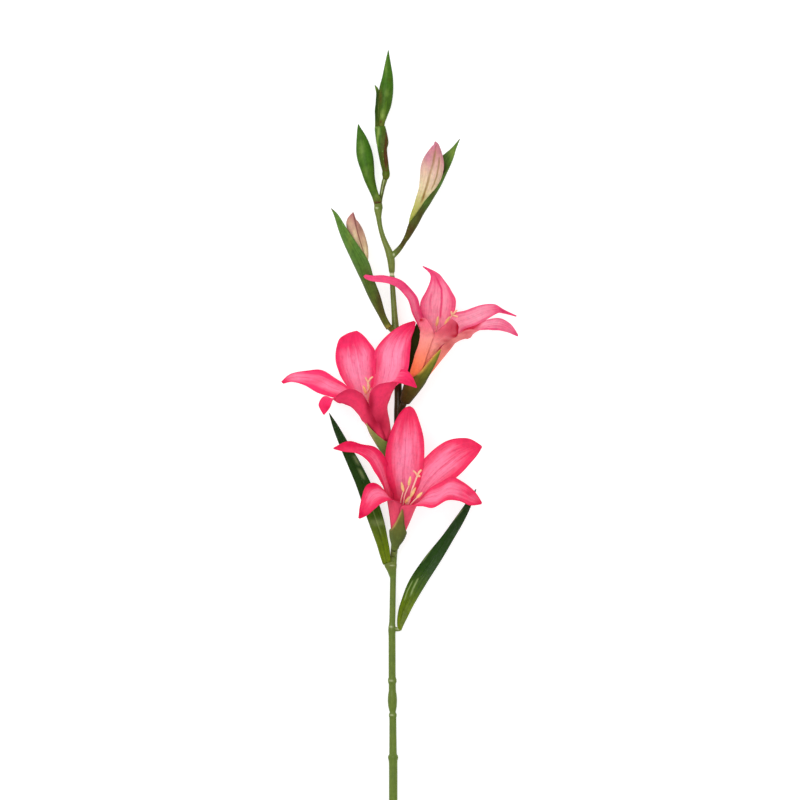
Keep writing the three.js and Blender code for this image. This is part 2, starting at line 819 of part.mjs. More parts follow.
// Closed buds: rings of x, y, z, half width and half depth
const pods = {
  bud_left: [
    [383.4, 316, 16.4, 1.8, 1.8],
    [377, 299, 16.8, 2.8, 2.8],
    [370.4, 281, 17, 3.6, 3.6],
    [366, 265, 17, 5, 4.6],
    [361.5, 250, 17, 7, 5.6],
    [357.4, 236, 17, 6.8, 5.4],
    [353, 222, 17, 4.6, 4.2],
    [352.6, 212.6, 17, 0.6, 0.6],
  ],
  bud_right: [
    [408.2, 230.9, 16, 1.6, 1.6],
    [413.4, 216.6, 20.2, 4, 3.8],
    [421.6, 198, 21, 5.6, 5],
    [427.4, 184, 21.4, 8.6, 6.4],
    [431.8, 170, 21.6, 10.8, 7.4],
    [434.6, 157, 21.8, 8.6, 6.2],
    [435.8, 148.5, 22, 4.4, 3.8],
    [435.2, 142, 22, 0.6, 0.6],
  ],
  bud_top: [
    [382.8, 126, 12.6, 2.6, 2.4],
    [384.4, 116, 12.6, 4.6, 4.2],
    [385, 104, 12.6, 6.4, 4.8],
    [386.2, 90, 12.8, 7, 5],
    [387.6, 77, 13, 5.4, 4.2],
    [388, 64, 13.2, 3.2, 2.8],
    [388, 50.4, 13.4, 0.5, 0.5],
  ],
  bud_top_bract: [
    [378.2, 126.4, 12.6, 1.2, 1.8],
    [376.9, 112, 12.6, 1.5, 3],
    [376.4, 98, 12.6, 1.4, 2.6],
    [375.4, 85.4, 12.6, 0.5, 0.6],
  ],
  bud_second: [
    [385.4, 178.6, 13, 2.2, 2],
    [385.6, 169, 12.8, 4, 3.4],
    [383.8, 156, 12.8, 4.8, 4],
    [382.2, 142, 12.6, 5.8, 4.4],
    [380.6, 131, 12.6, 5.4, 4],
    [380.2, 126.8, 12.6, 4.4, 3.4],
  ],
  bud_third: [
    [376, 203.8, 12.4, 1.9, 2.2],
    [373.8, 192, 12.6, 4.6, 3.8],
    [369.4, 178, 12.6, 6.6, 4.6],
    [366, 162, 12.8, 7.6, 5],
    [362.8, 147, 13, 7, 4.6],
    [360.2, 135, 13.2, 4.4, 3.4],
    [358.6, 124.4, 13.4, 0.6, 0.6],
  ],
};
for (const [name, rings] of Object.entries(pods)) {
  const surface = name === "bud_left" || name === "bud_right" ? finish.pinkBud : finish.greenBud;
  add(name, pod(rings), surface);
}

// The long bracts that hold the two pink buds, each on a stalk of its own
const budBracts = {
  bud_left_bract: {
    stalk: [[387.6, 324.8, 13.9, 3.4], [385.4, 320.6, 15.2, 3.6]],
    rows: [
      [388, 322, 17, 384, 324, 12.6, 50],
      [385.4, 312, 20, 376.5, 314, 12, 56],
      [380, 295, 22.6, 367.8, 297, 12, 50],
      [374.2, 280.5, 24, 360.6, 281, 12.6, 42],
      [369.6, 263, 25, 352.6, 263.5, 13.5, 34],
      [358, 246.5, 25, 344.8, 246, 14.5, 26],
      [346.4, 228.5, 22.6, 338.8, 229.5, 16, 20],
      [338, 214.5, 19, 334, 215.5, 17, 12],
      [331.4, 208.2, 16, 330.8, 208.4, 16, 2],
    ],
  },
  bud_right_bract: {
    stalk: [[400.5, 244.3, 12, 3.3], [404.4, 238, 13.4, 3.6], [407.8, 231.4, 15.2, 3.8]],
    rows: [
      [404, 234, 14.6, 410.6, 236, 15, 40],
      [407, 219, 14.4, 420, 219.5, 15.6, 34],
      [416, 198, 12.6, 432.6, 198.5, 16, 28],
      [426, 178, 11.4, 443.6, 178, 16.6, 24],
      [438, 160, 12.4, 452, 160.5, 17, 18],
      [450.4, 148.8, 15.4, 456.6, 147.6, 18, 12],
      [459.6, 139.4, 20, 460.2, 139.8, 20, 2],
    ],
  },
};
for (const [name, { stalk, rows }] of Object.entries(budBracts)) {
  const sheath = blade(onSheet(rows), bractThick, bractColumns);
  add(name, fuse([rod(stalk, stemSides), sheath]), finish.greenBud);
}

export default part;
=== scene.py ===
import math
import random

import bmesh
import bpy
import numpy as np
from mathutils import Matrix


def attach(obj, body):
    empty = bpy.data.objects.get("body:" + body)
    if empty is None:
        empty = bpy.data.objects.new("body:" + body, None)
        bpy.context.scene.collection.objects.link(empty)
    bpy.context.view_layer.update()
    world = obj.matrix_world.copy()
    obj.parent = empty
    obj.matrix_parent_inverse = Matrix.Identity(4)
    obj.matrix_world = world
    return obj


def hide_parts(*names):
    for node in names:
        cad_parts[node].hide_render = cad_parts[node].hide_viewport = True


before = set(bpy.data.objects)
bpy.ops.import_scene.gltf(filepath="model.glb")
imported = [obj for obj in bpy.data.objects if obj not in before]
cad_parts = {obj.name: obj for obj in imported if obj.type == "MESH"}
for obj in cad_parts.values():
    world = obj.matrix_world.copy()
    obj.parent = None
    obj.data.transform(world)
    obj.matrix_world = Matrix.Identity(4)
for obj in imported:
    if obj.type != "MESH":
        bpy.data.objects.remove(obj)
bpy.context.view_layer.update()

# Cut gladiolus stem, lying on a table and seen from above. Outlines are millimetres on a drawing
# sheet: across from its left edge, down from its top edge, and up from the table.

mm = 0.001
sheet = {
    "across": 400.25,  # the sheet's place where x = 0
    "down": 470.2,  # the sheet's place where y = 0
}
sky = np.array([0.0, 0.0, 1.0])


def place(spot):
    across, down, up = spot[:3]
    return np.array([across - sheet["across"], sheet["down"] - down, up]) * mm


def unit(v):
    return v / np.maximum(np.linalg.norm(v, axis=-1, keepdims=True), 1e-12)


def ease(low, high, value):
    f = np.clip((np.asarray(value, float) - low) / (high - low), 0, 1)
    return f * f * (3 - 2 * f)


# Smooth curve through rows of numbers, where whole t are the rows themselves
def through(rows, t):
    rows = np.asarray(rows, float)
    last = len(rows) - 1
    t = np.clip(np.atleast_1d(np.asarray(t, float)), 0, last)
    first = np.minimum(np.floor(t).astype(int), last - 1)
    f = (t - first)[:, None]
    start, end = rows[first], rows[first + 1]
    leaving = (end - rows[np.maximum(first - 1, 0)]) / 2
    arriving = (rows[np.minimum(first + 2, last)] - start) / 2
    bow = (leaving * (1 - f) - arriving * f + (end - start) * (2 * f - 1)) * f * (1 - f)
    return start + (end - start) * f + bow


def lengthAlong(line):
    return np.concatenate([[0], np.cumsum(np.linalg.norm(np.diff(line, axis=0), axis=1))])


# A shell is its corners, its faces and a number per corner for each mark that the paint reads
def gridFaces(rows, columns, base=0, closed=False):
    faces = []
    width = columns if closed else columns + 1
    for i in range(rows):
        for j in range(columns):
            a = base + i * width + j
            b = base + i * width + (j + 1) % width
            faces.append((a, b, b + width, a + width))
    return faces


# The faces of a closed tube, with a fan at each end round the two corners that come last
def tubeFaces(rings, sides):
    faces = gridFaces(rings - 1, sides, 0, True)
    foot, last = rings * sides, (rings - 1) * sides
    for k in range(sides):
        faces.append((foot, (k + 1) % sides, k))
        faces.append((foot + 1, last + k, last + (k + 1) % sides))
    return faces


# darkness carries a petal's blush and real stains, and also painted shade and painted highlights
marks = ("along", "across", "inner", "tone", "blush")


def shell(corners, faces, **given):
    made = {"corners": corners, "faces": faces}
    for mark in marks:
        value = given.get(mark, 0.0)
        made[mark] = np.broadcast_to(np.asarray(value, float).ravel(), (len(corners),))
    return made


def pieceName(node):
    words = node.split("_")
    return words[0] + "".join(word.capitalize() for word in words[1:])


# Joins closed shells in one object that stands for its CAD node
def makePiece(name, node, material, shells):
    corners = np.concatenate([s["corners"] for s in shells])
    faces = []
    base = 0
    for s in shells:
        faces += [tuple(base + k for k in face) for face in s["faces"]]
        base += len(s["corners"])
    mesh = bpy.data.meshes.new(name)
    mesh.from_pydata(corners.tolist(), [], faces)
    for mark in marks:
        values = np.concatenate([s[mark] for s in shells]).astype(np.float32)
        mesh.attributes.new(mark, "FLOAT", "POINT").data.foreach_set("value", values)
    tidy = bmesh.new()
    tidy.from_mesh(mesh)
    bmesh.ops.recalc_face_normals(tidy, faces=tidy.faces)
    tidy.to_mesh(mesh)
    tidy.free()
    mesh.polygons.foreach_set("use_smooth", [True] * len(mesh.polygons))
    mesh.materials.append(material)
    piece = bpy.data.objects.new(name, mesh)
    bpy.context.scene.collection.objects.link(piece)
    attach(piece, "root")
    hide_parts(node)


# A petal, leaf or bract between two edges. A row is left and right place and the bend of the
# section, seen on the inner face with the tip up. Mouth is the row where its free part starts.
def bladeShell(rows, form, draw, mouth=0, **given):
    rows = np.asarray(rows, float)
    last = len(rows) - 1
    finePerRow = 60
    fine = np.linspace(0, last, finePerRow * last + 1)
    edges = through(rows, fine)
    run = lengthAlong((edges[:, 0:3] + edges[:, 3:6]) / 2)
    t = np.interp(np.linspace(0, run[-1], form["steps"] + 1), run, fine)
    free = np.interp(mouth, fine, run)
    far = np.interp(t, fine, run) - free
    along = np.where(far < 0, far / max(free, mm), far / (run[-1] - free))

    edges = through(rows, t)
    left, right = edges[:, 0:3], edges[:, 3:6]
    nudge = 0.02
    before, after = through(rows, t - nudge), through(rows, t + nudge)
    ahead = (after[:, 0:3] + after[:, 3:6] - before[:, 0:3] - before[:, 3:6]) / 2
    half = np.linalg.norm(right - left, axis=1) / 2
    across = unit(right - left)
    normal = unit(np.cross(across, ahead))
    bend = edges[:, 6]
    arc = np.radians(np.maximum(np.abs(bend), 0.5))
    way = np.where(bend < 0, -1.0, 1.0)
    radius = half / np.sin(arc)

    s = np.linspace(-1, 1, form["columns"] + 1)
    angle = s[None, :] * arc[:, None]
    sag = (radius[:, None] * (np.cos(angle) - np.cos(arc)[:, None])) * way[:, None]
    reach = across[:, None, :] * (radius[:, None] * np.sin(angle))[..., None]
    points = ((left + right) / 2)[:, None, :] + reach
    points = points - normal[:, None, :] * sag[..., None]
    facing = normal[:, None, :] * np.cos(angle)[..., None]
    facing = facing - across[:, None, :] * (way[:, None] * np.sin(angle))[..., None]

    # Relief: the midrib's groove, waved margins and the veins
    a, side = along[:, None], s[None, :]
    fade = ease(0.0, 0.25, a) * ease(0, 0.12, 1 - a)
    width = half[:, None]
    relief = -form["rib"] * mm * np.exp(-((side / form["ribWidth"]) ** 2)) * fade
    relief = relief + form["keel"] * width * np.abs(side) * fade
    for edge in (-1, 1):
        turn = draw.uniform(0, 2 * math.pi)
        waves = form["waves"] * draw.uniform(0.85, 1.15)
        swell = np.sin(2 * math.pi * waves * a + turn)
        swell = swell + 0.4 * np.sin(2 * math.pi * waves * 2.3 * a + 2 * turn)
        relief = relief + form["wave"] * mm * swell * np.clip(edge * side, 0, 1) ** 3 * fade
    veins = np.cos(math.pi * form["veins"] * side) * (1 - side**2)
    relief = relief + form["vein"] * mm * veins * fade
    points = points + facing * relief[..., None]

    body = form["thin"] + (1 - form["thin"]) * np.sqrt(np.maximum(1 - side**2, 0))
    body = body * (form["thin"] + (1 - form["thin"]) * np.sqrt(ease(0, 0.1, 1 - a)))
    lift = facing * (form["thick"] * mm / 2 * body)[..., None]
    inner, outer = points + lift, points - lift

    rowCount, columns = form["steps"], form["columns"]
    count = (rowCount + 1) * (columns + 1)
    faces = gridFaces(rowCount, columns) + gridFaces(rowCount, columns, count)
    for j in range(columns):
        end = rowCount * (columns + 1) + j
        faces.append((j, j + 1, count + j + 1, count + j))
        faces.append((end, end + 1, count + end + 1, count + end))
    for i in range(rowCount):
        for edge in (i * (columns + 1), i * (columns + 1) + columns):
            faces.append((edge, edge + columns + 1, count + edge + columns + 1, count + edge))
    shape = (rowCount + 1, columns + 1)
    alongAll = np.tile(np.broadcast_to(a, shape).ravel(), 2)
    acrossAll = np.tile(np.broadcast_to(side, shape).ravel(), 2)
    innerAll = np.repeat([1.0, 0.0], count)
    corners = np.concatenate([inner.reshape(-1, 3), outer.reshape(-1, 3)])
    return shell(corners, faces, along=alongAll, across=acrossAll, inner=innerAll, **given)


def onSheet(rows):
    return [[*place(row[0:3]), *place(row[3:6]), row[6]] for row in rows]


# A round piece along a path. Swell(along, angle) may change its radius.
def tubeShell(path, wide, deep, sides, swell=None, **given):
    path = np.asarray(path, float)
    last = len(path) - 1
    at = np.arange(last + 1)
    ahead = path[np.minimum(at + 1, last)] - path[np.maximum(at - 1, 0)]
    across = unit(np.cross(ahead, sky))
    up = unit(np.cross(across, ahead))
    run = lengthAlong(path)
    along = (run / run[-1])[:, None]
    angle = (2 * math.pi * np.arange(sides) / sides)[None, :]
    factor = 1.0 if swell is None else swell(along, angle)
    side = across[:, None, :] * (np.asarray(wide)[:, None] * np.cos(angle) * factor)[..., None]
    rise = up[:, None, :] * (np.asarray(deep)[:, None] * np.sin(angle) * factor)[..., None]
    rings = path[:, None, :] + side + rise
    corners = np.concatenate([rings.reshape(-1, 3), path[:1], path[-1:]])
    faces = tubeFaces(last + 1, sides)
    shape = (last + 1, sides)
    alongAll = np.append(np.broadcast_to(along, shape).ravel(), [0, 1])
    acrossAll = np.append(np.broadcast_to(np.sin(angle), shape).ravel(), [0, 0])
    innerAll = np.append(np.broadcast_to(np.cos(angle), shape).ravel(), [0, 0])
    return shell(corners, faces, along=alongAll, across=acrossAll, inner=innerAll, **given)


# Rings of place, half width and, where it differs, half depth
def ringRows(rings):
    return np.array([[*place(ring), ring[3] * mm, ring[-1] * mm] for ring in rings])


# Rings joined by curves
def podShell(rings, steps, sides, swell=None, **given):
    rings = ringRows(rings)
    t = np.linspace(0, len(rings) - 1, steps + 1)
    made = through(rings, t)
    return tubeShell(made[:, 0:3], made[:, 3], made[:, 4], sides, swell, **given)


# Straight runs between rings, rounded off: its line over a long way, its width over a short one
def stalkShell(rings, form, swell=None, **given):
    rings = ringRows(rings)
    run = lengthAlong(rings[:, 0:3])
    count = max(int(run[-1] / (form["step"] * mm)), 6)
    at = np.linspace(0, run[-1], count + 1)
    made = np.stack([np.interp(at, run, rings[:, k]) for k in range(5)], axis=1)

    def rounded(values, reach):
        spread = max(reach * mm / (run[-1] / count), 0.3)
        size = int(spread * 3) + 1
        weight = np.exp(-0.5 * (np.arange(-size, size + 1) / spread) ** 2)
        before, after = values[size:0:-1], values[-2 : -size - 2 : -1]
        padded = np.concatenate([2 * values[0] - before, values, 2 * values[-1] - after])
        return np.convolve(padded, weight / weight.sum(), "valid")

    bendReach = min(form["bendReach"], 1000 * run[-1] / 8)
    line = np.stack([rounded(made[:, k], bendReach) for k in range(3)], axis=1)
    wide, deep = [rounded(made[:, k], form["widthReach"]) for k in (3, 4)]
    return tubeShell(line, wide, deep, form["sides"], swell, **given)


# The funnel of a bloom at t: centre, radius, the way ahead and the sides that look up and right
def funnelAt(funnel, t):
    last = len(funnel) - 1

    def centreAt(u):
        return place(through(funnel, min(max(u, 0), last))[0])

    ahead = unit(centreAt(t + 0.05) - centreAt(t - 0.05))
    front = unit(sky - ahead * ahead[2])
    radius = through(funnel, t)[0][3] * mm
    return centreAt(t), radius, ahead, front, np.cross(ahead, front)


def onFunnel(funnel, t, angle, lift):
    centre, radius, _, front, right = funnelAt(funnel, t)
    out = front * math.cos(math.radians(angle)) + right * math.sin(math.radians(angle))
    return centre + out * (radius + lift * mm), out


# A petal: its angle on the funnel, how far it spreads to each side there, its lift off the wall,
# and the rows of its free part. Rings is how many of the funnel's rings it runs past.
def petal(angle, spread, lift, rows, **more):
    return {"angle": angle, "spread": spread, "lift": lift, "rows": rows, **more}


def petalShell(funnel, given, form, draw):
    angle, spread, lift = given["angle"], given["spread"], given["lift"]
    claw = []
    for t in range(given.get("rings", len(funnel))):
        left, right = [onFunnel(funnel, t, angle + side * spread, lift)[0] for side in (1, -1)]
        claw.append([*left, *right, spread])
    rows = claw + onSheet(given["rows"])
    tone = draw.random()
    mouth = len(claw) - 1 + given.get("mouth", 0)
    made = bladeShell(rows, form, draw, mouth, tone=tone, blush=given.get("blush", 0.0))
    for side, start, amount in given.get("strips", []):
        made["blush"] = made["blush"] + amount * ease(start, 1, side * made["across"])
    stain(made, given.get("stains", []))
    crease(made, given.get("creases", []), made["inner"])
    return made


# The cup of bracts round a funnel: a round floor that curves into its wall, and a rim that
# reaches its own way up at each angle
def cupShell(bloom, form, draw):
    funnel, snug = bloom["funnel"], bloom["snug"]
    centre, radius, ahead, front, right = funnelAt(funnel, 0)
    floor = bloom["foot"] - form["clear"]
    columns, rise, floorRows = form["columns"], form["steps"], form["floorRows"]
    angles = np.linspace(-180, 180, columns + 1)[:-1]
    outs = [front * math.cos(math.radians(a)) + right * math.sin(math.radians(a)) for a in angles]
    known = np.array(sorted([(angle + 180) % 360 - 180, top] for angle, top in bloom["rim"]))
    known = np.concatenate([known[-1:] - [360, 0], known, known[:1] + [360, 0]])
    reach = np.interp(angles, known[:, 0], known[:, 1])
    turn = draw.uniform(0, 6)

    def wall(lift):
        rows = []
        widest = radius + (lift - snug) * mm
        deepest = (floor + lift - form["lift"]) * mm
        for k in range(floorRows):
            q = math.pi / 2 * (k + 1) / (floorRows + 1)
            ring = centre - ahead * deepest * math.cos(q)
            rows.append([ring + out * widest * math.sin(q) for out in outs])
        for k in range(rise + 1):
            ring = []
            for a, top in zip(angles, reach):
                veins = form["vein"] * math.cos(math.radians(a) * form["veins"] + turn)
                veins = veins * min(1, 3 * k / rise) * (1 - k / rise)
                flare = form["flare"] * (k / rise) ** 4 - snug * ease(0.9, 0, top * k / rise)
                ring.append(onFunnel(funnel, top * k / rise, a, lift + veins + flare)[0])
            rows.append(ring)
        return np.array(rows)

    half = form["thick"] / 2
    outer, inner = wall(form["lift"] + half), wall(form["lift"] - half)
    middle = (outer[-1:] + inner[-1:]) / 2
    rim = [side[-1:] * 0.35 + middle * 0.65 for side in (outer, inner)]  # rounded off
    rings = np.concatenate([outer[:-1], *rim, inner[-2::-1]])
    ends = [[centre - ahead * (floor + half) * mm], [centre - ahead * (floor - half) * mm]]
    corners = np.concatenate([rings.reshape(-1, 3), *ends])
    floorShare = 0.12
    floorUp, wallUp = np.linspace(0, floorShare, floorRows), np.linspace(floorShare, 1, rise + 1)
    up = np.concatenate([floorUp, wallUp])
    share = reach / reach.max()
    along = np.concatenate([up, up[::-1]])[:, None] * share[None, :]
    across = np.broadcast_to(np.sin(np.radians(angles))[None, :], along.shape)
    read = {"along": np.append(along, [0, 0]), "across": np.append(across, [0, 0])}
    made = shell(corners, tubeFaces(len(rings), columns), **read, tone=draw.random())
    # Pale and dark strips along the cup's edges; on the lower bloom they are painted highlight and shade
    crease(made, bloom["edgeStripsAndShading"], 1.0)
    return made


# Where the corners of a shell are on the sheet
def planOf(made):
    return made["corners"][:, 0] / mm + sheet["across"], sheet["down"] - made["corners"][:, 1] / mm


# Stains and shading: some spots are real stains and flecks; others are painted shade in throats, folds
# and hollows, and painted highlights
# Spots of the dark colour (above 0) or the pale one: across, down, reach each way and amount
def stain(made, spots):
    across, down = planOf(made)
    for u, v, wide, high, amount in spots:
        spot = np.exp(-(((across - u) / wide) ** 2) - ((down - v) / high) ** 2)
        made["blush"] = made["blush"] + amount * spot


# A line on the sheet, from its top down: how wide and deep it is pressed in, how high the lip on
# its left is, and how much it is darkened
# Below 0 a line is made paler. The darkened grooves on the buds are painted shade, the pale lines on the
# leaves and the top thread are painted highlights, and a petal's dark lines are its veins.
def stroke(width, depth, lip, shade, *spots):
    return {"width": width, "depth": depth, "lip": lip, "shade": shade, "line": spots}


lipForm = {
    "off": 1.9,  # from the line, in widths of the line
    "wide": 1.4,
}


# Draws such lines on the face that the mask picks out
def crease(made, lines, mask):
    across, down = planOf(made)
    for line in lines:
        spots = np.array(line["line"])
        off = (across - np.interp(down, spots[:, 1], spots[:, 0])) / line["width"]
        top, foot = spots[0, 1], spots[-1, 1]
        near = mask * ease(top - 1, top + 3, down) * ease(foot + 1, foot - 4, down)
        valley = np.exp(-(off**2)) * near
        lip = np.exp(-(((off + lipForm["off"]) / lipForm["wide"]) ** 2)) * near
        made["corners"][:, 2] += (line["lip"] * lip - line["depth"] * valley) * mm
        made["blush"] = made["blush"] + line["shade"] * valley


# Shader nodes
def paint(red, green, blue):
    def linear(value):
        value /= 255
        return value / 12.92 if value <= 0.04045 else ((value + 0.055) / 1.055) ** 2.4

    return (linear(red), linear(green), linear(blue), 1.0)


def put(tree, kind, settings=None, inputs=None):
    made = tree.nodes.new("ShaderNode" + kind)
    for key, value in (settings or {}).items():
        setattr(made, key, value)
    for key, value in (inputs or {}).items():
        if isinstance(value, bpy.types.NodeSocket):
            tree.links.new(value, made.inputs[key])
        else:
            made.inputs[key].default_value = value
    return made


def calc(tree, operation, a, b=0.0, clamp=False):
    return put(tree, "Math", {"operation": operation, "use_clamp": clamp}, {0: a, 1: b}).outputs[0]


def times(tree, a, b, clamp=False):
    return calc(tree, "MULTIPLY", a, b, clamp)


def plus(tree, a, b, clamp=False):
    return calc(tree, "ADD", a, b, clamp)


def band(tree, value, low, high, start=0.0, end=1.0):
    settings = {"interpolation_type": "SMOOTHSTEP"}
    inputs = {"Value": value, "From Min": low, "From Max": high, "To Min": start, "To Max": end}
    return put(tree, "MapRange", settings, inputs).outputs[0]


def mix(tree, factor, a, b):
    return put(tree, "Mix", {"data_type": "RGBA"}, {0: factor, 6: a, 7: b}).outputs[2]


def noise(tree, spot, scale, detail, rough):
    inputs = {"Vector": spot, "Scale": scale, "Detail": detail, "Roughness": rough}
    return put(tree, "TexNoise", None, inputs).outputs[0]


def grain(tree, x, y, z, detail=3.0, rough=0.6):
    spot = put(tree, "CombineXYZ", None, {0: x, 1: y, 2: z}).outputs[0]
    return noise(tree, spot, 1.0, detail, rough)


def setInputs(shader, values):
    for key, value in values.items():
        shader.inputs[key].default_value = value


def floats(**given):
    return [(name, "Float", value) for name, value in given.items()]


def startGroup(name, inputs, outputs):
    tree = bpy.data.node_groups.new(name, "ShaderNodeTree")
    for socket, kind, value in inputs:
        made = tree.interface.new_socket(socket, in_out="INPUT", socket_type="NodeSocket" + kind)
        made.default_value = value
    for socket, kind in outputs:
        tree.interface.new_socket(socket, in_out="OUTPUT", socket_type="NodeSocket" + kind)
    given = tree.nodes.new("NodeGroupInput").outputs
    return tree, given, tree.nodes.new("NodeGroupOutput").inputs


petalColours = ("Heart", "Edge", "Deep", "Vein", "Throat", "Back", "Tube", "Flush")


# Fine streaks that run from root to tip and narrow with the blade
def makeStreaks():
    inputs = floats(Along=0.0, Across=0.0, Tone=0.0, Count=8.0, Run=1.5)
    tree, given, out = startGroup("lengthwiseStreaks", inputs, [("Broad", "Float"), ("Fine", "Float")])
    seed = times(tree, given["Tone"], 37.0)
    across = times(tree, given["Across"], given["Count"])
    along = times(tree, given["Along"], given["Run"])
    tree.links.new(grain(tree, across, along, seed), out["Broad"])
    across = times(tree, across, 3.1)
    along = times(tree, along, 1.7)
    tree.links.new(grain(tree, across, along, plus(tree, seed, 5.0), 4.0, 0.7), out["Fine"])
    return tree


# Small mottling and pores, the same on every surface of the plant
def makeSkin():
    outputs = [("Mottle", "Float"), ("Height", "Float")]
    tree, given, out = startGroup("plantSkin", floats(Scale=900.0, Strength=0.5), outputs)
    spot = put(tree, "TexCoord").outputs["Object"]
    wide = noise(tree, spot, 240.0, 4.0, 0.6)
    fine = noise(tree, spot, given["Scale"], 2.0, 0.5)
    tree.links.new(band(tree, wide, 0.3, 0.7), out["Mottle"])
    tree.links.new(times(tree, fine, given["Strength"]), out["Height"])
    return tree


# A petal's colours: a pale heart, a deep margin, darker streaks, its throat, back and tube
def makePetalPaint():
    inputs = floats(Along=0.0, Across=0.0, Inner=0.0, Tone=0.0, Blush=0.0)
    inputs += [(name, "Color", (1, 1, 1, 1)) for name in petalColours]
    inputs += floats(Margin=0.1, Seam=0.8, Join=0.8, Climb=-0.15)
    tree, given, out = startGroup("petalPaint", inputs, [("Color", "Color"), ("Height", "Float")])
    along, across = given["Along"], given["Across"]
    follow = {"Along": along, "Across": across, "Tone": given["Tone"], "Count": 5.5, "Run": 2.6}
    streaks = put(tree, "Group", {"node_tree": lengthwiseStreaks}, follow)
    broad, fine = streaks.outputs["Broad"], streaks.outputs["Fine"]
    wander = times(tree, calc(tree, "SUBTRACT", broad, 0.5), 0.65)
    width = calc(tree, "ABSOLUTE", across)
    side = plus(tree, width, wander)
    margin = band(tree, side, given["Margin"], 1.0)
    tip = band(tree, plus(tree, along, times(tree, wander, 0.6)), 0.45, 0.9)
    rim = plus(tree, calc(tree, "MAXIMUM", margin, tip), given["Blush"], True)
    colour = mix(tree, rim, given["Heart"], given["Edge"])
    over = times(tree, calc(tree, "SUBTRACT", given["Blush"], 0.35), 1.3, True)
    deep = times(tree, band(tree, side, 0.7, 1.25), band(tree, along, 0.2, 0.9))
    point = plus(tree, along, times(tree, wander, 0.5))
    deep = calc(tree, "MAXIMUM", deep, band(tree, point, 0.72, 1.05, 0.0, 0.65))
    colour = mix(tree, calc(tree, "MAXIMUM", deep, over), colour, given["Deep"])
    spread = band(tree, along, 1.0, 0.45)
    streak = times(tree, band(tree, broad, 0.5, 0.68), spread)
    colour = mix(tree, times(tree, streak, 0.24), colour, given["Vein"])
    thread = times(tree, band(tree, fine, 0.52, 0.64), 0.42)
    colour = mix(tree, thread, colour, given["Vein"])
    rib = times(tree, band(tree, width, 0.05, 0.0), band(tree, along, 0.9, 0.3))
    colour = mix(tree, times(tree, rib, 0.4), colour, given["Vein"])
    colour = mix(tree, band(tree, along, 0.22, -0.12), colour, given["Throat"])
    climbed = calc(tree, "SUBTRACT", along, given["Climb"])
    back = mix(tree, band(tree, climbed, -0.7, 0.0), given["Tube"], given["Back"])
    back = mix(tree, times(tree, band(tree, along, -0.1, 0.8), 0.7), back, given["Edge"])
    back = mix(tree, times(tree, band(tree, fine, 0.45, 0.65), 0.25), back, given["Vein"])
    seam = times(tree, band(tree, width, given["Seam"], 1.0), band(tree, along, 0.3, 0.0, 0.4, 1.0))
    seam = times(tree, seam, given["Join"])
    flush = times(tree, given["Blush"], band(tree, along, -0.6, 0.25), True)
    back = mix(tree, calc(tree, "MAXIMUM", seam, flush), back, given["Flush"])
    tree.links.new(mix(tree, given["Inner"], back, colour), out["Color"])
    relief = plus(tree, times(tree, fine, 0.6), times(tree, broad, 0.5))
    tree.links.new(relief, out["Height"])
    return tree


lengthwiseStreaks = makeStreaks()
plantSkin = makeSkin()
petalPaint = makePetalPaint()
print("Shader groups are ready")


def newMaterial(name, look):
    material = bpy.data.materials.new(name)
    material.use_nodes = True
    tree = material.node_tree
    shader = tree.nodes["Principled BSDF"]
    setInputs(shader, {
        "Roughness": look["roughness"],
        "Specular IOR Level": look.get("specular", 0.06),
        "Coat Weight": look.get("coat", 0.0),
        "Coat Roughness": 0.3,
        "Subsurface Weight": look.get("subsurface", 0.0),
        "Subsurface Radius": (1.0, 0.35, 0.2),
        "Subsurface Scale": 0.002,
    })
    read = {mark: put(tree, "Attribute", {"attribute_name": mark}).outputs["Fac"] for mark in marks}
    return material, tree, shader, read


def finishMaterial(tree, shader, colour, height, depth, mottle=0.14):
    skin = put(tree, "Group", {"node_tree": plantSkin})
    shade = calc(tree, "MULTIPLY_ADD", skin.outputs["Mottle"], mottle)
    shade.node.inputs[2].default_value = 1 - mottle / 2
    colour = put(tree, "HueSaturation", None, {"Value": shade, "Color": colour}).outputs[0]
    tree.links.new(colour, shader.inputs["Base Color"])
    rise = plus(tree, height, skin.outputs["Height"])
    bump = put(tree, "Bump", None, {"Strength": 0.6, "Distance": depth * mm, "Height": rise})
    tree.links.new(bump.outputs[0], shader.inputs["Normal"])


def petalMaterial(name, look):
    material, tree, shader, read = newMaterial(name, look)
    inputs = {mark.capitalize(): read[mark] for mark in marks}
    inputs.update({key: paint(*look[key]) for key in petalColours})
    inputs.update({key: look[key] for key in ("Margin", "Seam", "Join", "Climb")})
    painted = put(tree, "Group", {"node_tree": petalPaint}, inputs)
    finishMaterial(tree, shader, painted.outputs["Color"], painted.outputs["Height"], 0.12)
    return material


